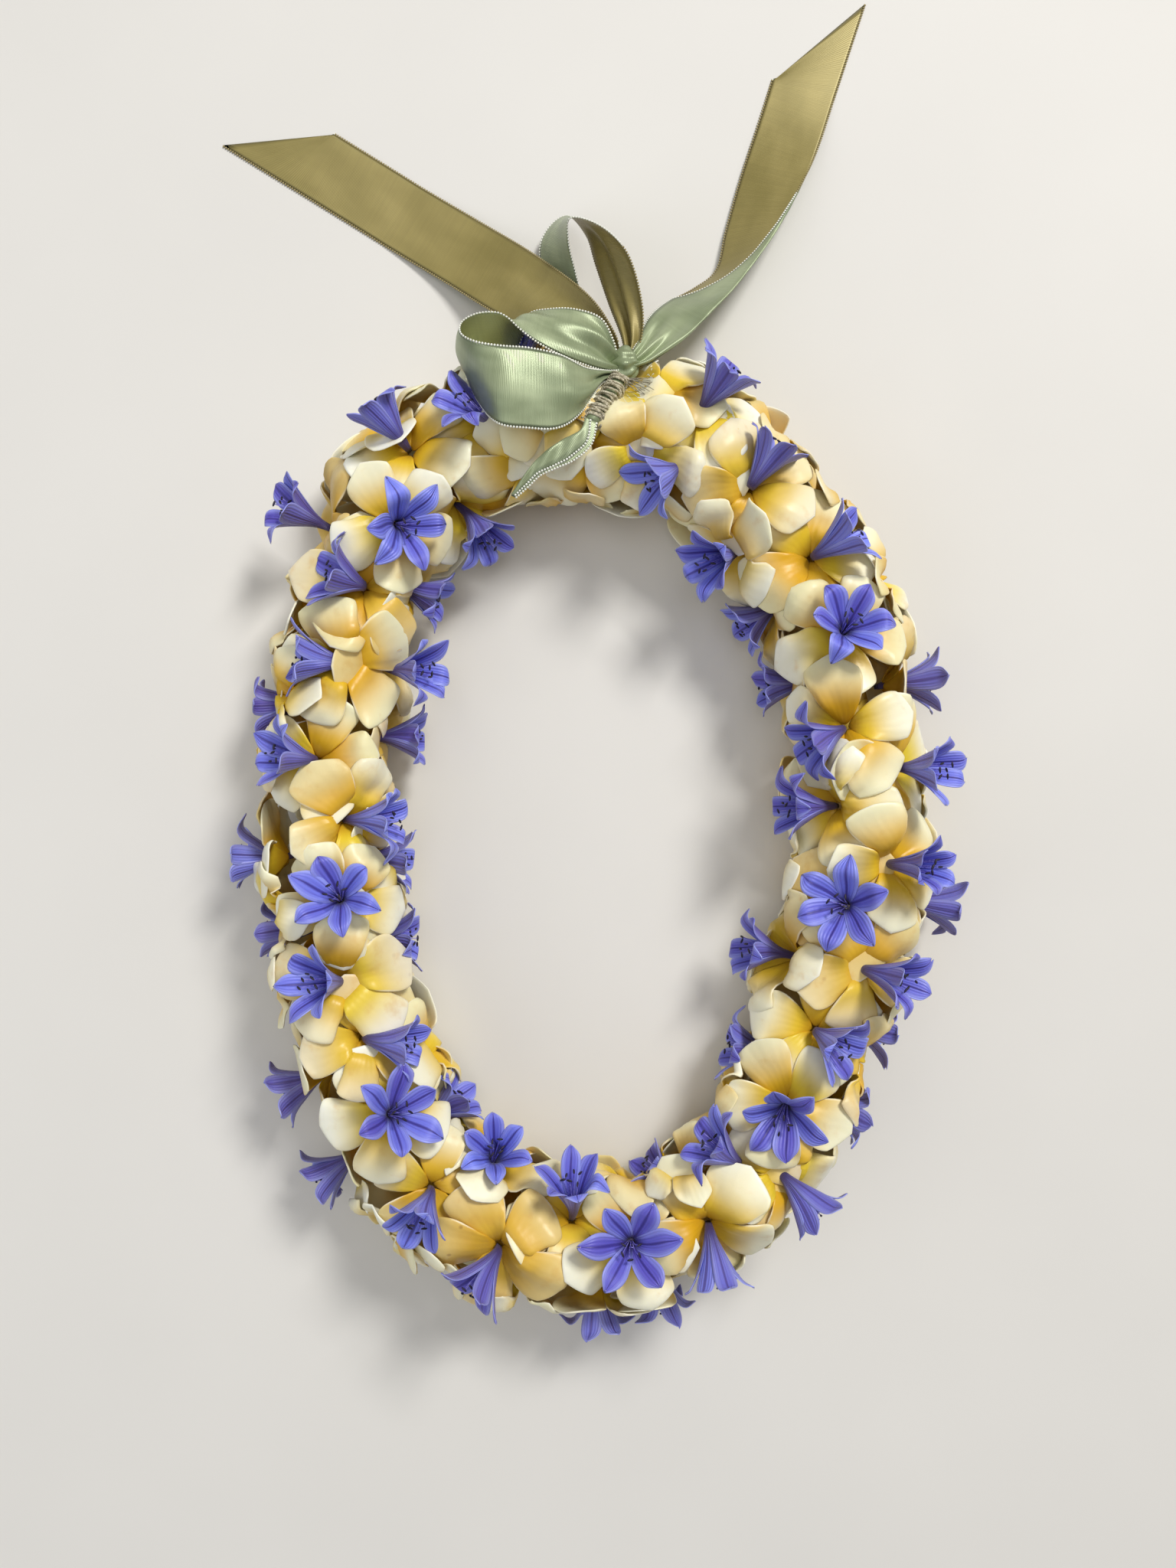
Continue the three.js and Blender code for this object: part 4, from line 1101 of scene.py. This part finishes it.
def add_core(builder, k):
    """The flower tubes round the string, as one ribbed core under the petals of a stretch."""
    u = np.linspace(2 * k - 0.02, 2 * k + 2.02, CORE_RINGS)
    at, _, inward = route_frame(u)
    angle = 2 * np.pi * np.arange(CORE_SIDES)[None] / CORE_SIDES
    u = u[:, None]
    radius = CORE_R + 1.3 * np.sin(5 * angle + 7 * u) + 0.8 * np.sin(9 * angle - 4 * u)
    ray = np.cos(angle)[..., None] * UP + np.sin(angle)[..., None] * inward[:, None]
    rings = at[:, None] + radius[..., None] * ray
    verts = np.concatenate([at[:1], rings.reshape(-1, 3), at[-1:]])
    builder.add(verts, turned(capped_faces(CORE_RINGS, CORE_SIDES)), 1)


def knot_piece(material):
    """The knot: gathered ribbon with folds that run into the loops and tails. Returns points."""
    builder = Builder()
    rows, cols = 25, 48
    a = np.linspace(0, math.pi, rows)[:, None]
    b = 2 * math.pi * np.arange(cols)[None] / cols
    ridge = 0.1 * np.sin(9 * b + 1.5 * np.sin(3 * a)) * np.sin(a) + 0.05 * np.sin(4 * b + 5 * a)
    strap = 0.1 * np.exp(-((a - math.pi / 2) / 0.35) ** 2)
    size = (0.9 + ridge + strap)[..., None]
    points = point_of(KNOT_PX) + ball(a, b) * size * np.array(KNOT_RADII)
    verts = np.concatenate([points[:1, 0], points[1:-1].reshape(-1, 3), points[-1:, 0]])
    run = np.concatenate([[0], np.repeat(np.linspace(0, 24, rows - 2), cols), [24]])
    wide = np.concatenate([[19], np.tile(np.linspace(2, 36, cols), rows - 2), [19]])
    builder.add(verts, turned(capped_faces(rows - 2, cols)), 0, run_mm=run, wide_mm=wide)
    builder.make(KNOT, [material], "ribbon_satin", ["ribbon_knot"])
    return points.reshape(-1, 3)


def twine_piece(material, satin_material):
    """Twine wound round the tied stem, and its frayed ends. Returns points of the stem."""
    builder = Builder()
    start, end = (point_of(px) for px in WRAP_PX)
    axis = unit(end - start)
    first = unit(np.cross(axis, UP))
    second = np.cross(axis, first)
    stem = start + np.linspace(0.02, 0.98, 9)[:, None] * (end - start)
    tube(builder, stem, STEM_R, 14, 1, run_mm=0, wide_mm=12)
    length = np.linalg.norm(end - start)
    s = np.linspace(0, 1, 220)
    for turns, grow, phase in WINDINGS:
        angle = 2 * math.pi * turns * (s + 0.03 * np.sin(7 * s + phase)) + phase
        radius = STEM_R + 0.4 + grow + 0.35 * np.sin(19 * s + phase)
        line = start + ((0.03 + 0.92 * s + 0.012 * np.sin(3 * angle)) * length)[:, None] * axis
        ray = np.cos(angle)[:, None] * first + np.sin(angle)[:, None] * second
        tube(builder, line + radius[:, None] * ray, TWINE_R, 6, 0)
    for target in FRAYED_PX:
        for _ in range(5):
            goal = point_of(target) + rng.normal(size=3) * np.array([1.3, 1.3, 1.0])
            bend = (start + goal) / 2 + rng.normal(size=3) * 1.6 + 2 * UP
            t = np.linspace(0, 1, 14)[:, None]
            line = (1 - t) ** 2 * start + 2 * t * (1 - t) * bend + t ** 2 * goal
            tube(builder, line, FRAYED_R - 0.22 * t[:, 0], 5, 0)
    builder.make(WOUND, [material, satin_material], "twine", ["twine_wrap"])
    return stem


def standing_names(blooms):
    """The CAD node of each floret that has one, in the part's order."""
    stood = [i for i, bloom in enumerate(blooms) if bloom["aim"] is not None and bloom["low"] != 2]
    return {i: f"violet_{count:02d}" for count, i in enumerate(stood, 1)}


# Camera first, at the picture's eye.
camera_data = bpy.data.cameras.new("photo_eye")
camera = linked("photo_eye", camera_data)
bpy.context.scene.camera = camera
camera_data.sensor_width = SENSOR
camera_data.lens = SENSOR * EYE_Z / (IMAGE_HEIGHT * MM_PER_PX)
camera_data.clip_start, camera_data.clip_end = 0.02, 30
camera.location = (-MIDDLE[0] / 1000, -MIDDLE[1] / 1000, EYE_Z / 1000)

# Floor and light, in metres.
FLOOR_HALF, FLOOR_Z = 4, -0.0002
floor_mesh = bpy.data.meshes.new("floor")
corners = ((-FLOOR_HALF, -FLOOR_HALF), (FLOOR_HALF, -FLOOR_HALF),
           (FLOOR_HALF, FLOOR_HALF), (-FLOOR_HALF, FLOOR_HALF))
floor_mesh.from_pydata([(*corner, FLOOR_Z) for corner in corners], [], [[0, 1, 2, 3]])
floor_mesh.materials.append(paper_floor())
floor = linked("floor", floor_mesh)


def softbox(name, place, size, watts, colour=(1, 1, 1)):
    """A square lamp that faces the middle of the part."""
    lamp = bpy.data.lights.new(name, "AREA")
    lamp.size, lamp.energy, lamp.color = size, watts, colour
    box = linked(name, lamp)
    box.location = place
    box.rotation_euler = (-Vector(place)).to_track_quat("-Z", "Y").to_euler()


softbox("key", (1.5, 1.95, 2.7), 0.9, 101, (1, 0.98, 0.94))
softbox("fill", (-1.3, -0.5, 1.2), 1.4, 6, (0.94, 0.97, 1))
softbox("over", (0.0, 0.1, 1.9), 1.0, 5)
world = bpy.data.worlds.new("studio")
world.use_nodes = True
backdrop = world.node_tree.nodes["Background"].inputs
backdrop["Color"].default_value = (0.96, 0.95, 0.94, 1)
backdrop["Strength"].default_value = 0.3
bpy.context.scene.world = world
bpy.context.scene.view_settings.view_transform = "Standard"

# Materials.
CREAM, VIOLET = cream_petal(), violet_petal()
TUBES = speckled("bloom_tube", "b08a26", "d6b648", (90, 3), (300, 4), (0.0004, 0.6), 0.55)
THREAD = (600, 3), (1500, 3), (0.0001, 0.5)
FILAMENT = speckled("violet_filament", "6a62c8", "a49ce6", *THREAD, 0.5)
ANTHER = speckled("dark_anther", "14101e", "2c2240", *THREAD, 0.6)
SAGE = satin("sage_satin", "83906c", "a8b48e", "58644a", 0.34)
# A golden copy of the sage satin: painted warm reflection, as flat-lying satin shows.
PAINTED_WARM_REFLECTION = satin("sage_satin_painted_warm_reflection", "94874c", "a09256", "6a6032", 0.4)
# The inside face of the left loop: the sage satin a little rougher, painted lighter to stand in for
# the light that reaches into the loop.
PAINTED_LIGHT_INSIDE = satin("sage_satin_painted_light_inside", "b4bf90", "c0ca9a", "8f9a6c", 0.4)
PICOT, TWINE = picot_thread(), twine_fibre()

# The bow.
# Face pairs, upper face first: the golden copy with painted warm reflection goes on top of the left
# tail and the upper loop, and on the under face of the right tail.
REFLECTION_UNDER, REFLECTION_UP = [SAGE, PAINTED_WARM_REFLECTION], [PAINTED_WARM_REFLECTION, SAGE]

# Each sheet: its strip, the looks of its faces, its CAD node, how it is held and what holds it.
STRIPS = {
    "ribbon_left_loop": (strip_grid(LOOP_LEFT, calm=0.9, bulge=2.4), [SAGE, PAINTED_LIGHT_INSIDE],
                         "ribbon_loop_left", "gathered", KNOT),
    "ribbon_upper_loop": (strip_grid(LOOP_UPPER, calm=0.4), REFLECTION_UP,
                          "ribbon_loop_upper", "gathered", KNOT),
    "ribbon_right_tail": (folded_grid(TAIL_RIGHT, TAIL_FOLD, thick=2.4, pleat=2.2), REFLECTION_UNDER,
                          "ribbon_tail_right", "draped", KNOT),
    "ribbon_left_tail": (strip_grid(TAIL_LEFT, folds=1.0), REFLECTION_UP,
                         "ribbon_tail_left", "draped", KNOT),
    "ribbon_folded_end": (folded_grid(RIBBON_END, END_FOLD, thick=1.0, width=END_WIDTH),
                          [SAGE, SAGE], "ribbon_end", "folded", WOUND),
}
guards = [knot_piece(SAGE), twine_piece(TWINE, SAGE)]
for name, strip in STRIPS.items():
    add_strip(name, *strip)
    guards.append(strip[0][0][::2, ::2].reshape(-1, 3))
guards = np.concatenate(guards)

# The garland, a stretch at a time.
blooms = table_of_blooms()
names = standing_names(blooms)
florets = [Floret(bloom) for bloom in blooms if bloom["aim"] is not None]
pile = Pile()
petals = {}


def rank(bloom):
    """Blooms underneath come first, then the low ones, each by chance."""
    return not bloom["under"], not bloom["low"], rng.random_sample()


def place_petals(i):
    """Lays the petals of one bloom on the pile, under the florets and the ribbon."""
    mids, looks, axis = cream_mids(blooms[i])
    for k, mid in enumerate(mids):
        mid = pile.lift(dip(mid, axis, florets), axis, PETAL_SHARE, DISC_X, LIFT_MOST)
        mids[k] = press(keep_below(mid, guards, *PETAL_SLOPE))
        pile.add(mids[k:k + 1])
    petals[i] = mids, looks


for i in sorted(range(len(blooms)), key=lambda i: rank(blooms[i])):
    place_petals(i)
for _ in range(MOST_FILLERS):
    extra = filler_bloom(pile)
    if extra is None:
        break
    blooms.append(extra)
    place_petals(len(blooms) - 1)

for k in range(STRETCHES):
    mine = [i for i, bloom in enumerate(blooms) if 2 * k <= bloom["u"] < 2 * k + 2]
    creams, violets = Builder(), Builder()
    for i in mine:
        mids, looks = petals[i]
        for petal, (tint, age) in zip(shell(mids, PETAL_T * ROUND, PETAL_INNER), looks):
            creams.add(petal, PETAL_FACES, 0, along=PETAL_AHEAD, across=PETAL_ACROSS,
                       tint=tint, age=age)
        if blooms[i]["aim"] is not None:
            add_floret(violets, blooms[i])
    add_core(creams, k)
    number = f"{k + 1:02d}"
    node = ["cream_" + number]
    creams.make("cream_blooms_" + number, [CREAM, TUBES], "cream_petal", node)
    if violets.count:
        stood = [names[i] for i in mine if i in names]
        stood += node if any(blooms[i]["low"] == 2 for i in mine) else []
        violets.make("violet_florets_" + number, [VIOLET, FILAMENT, ANTHER], "violet_petal", stood)

string = frame["nodes"]["string"]
string.data.materials.clear()
string.data.materials.append(cotton())
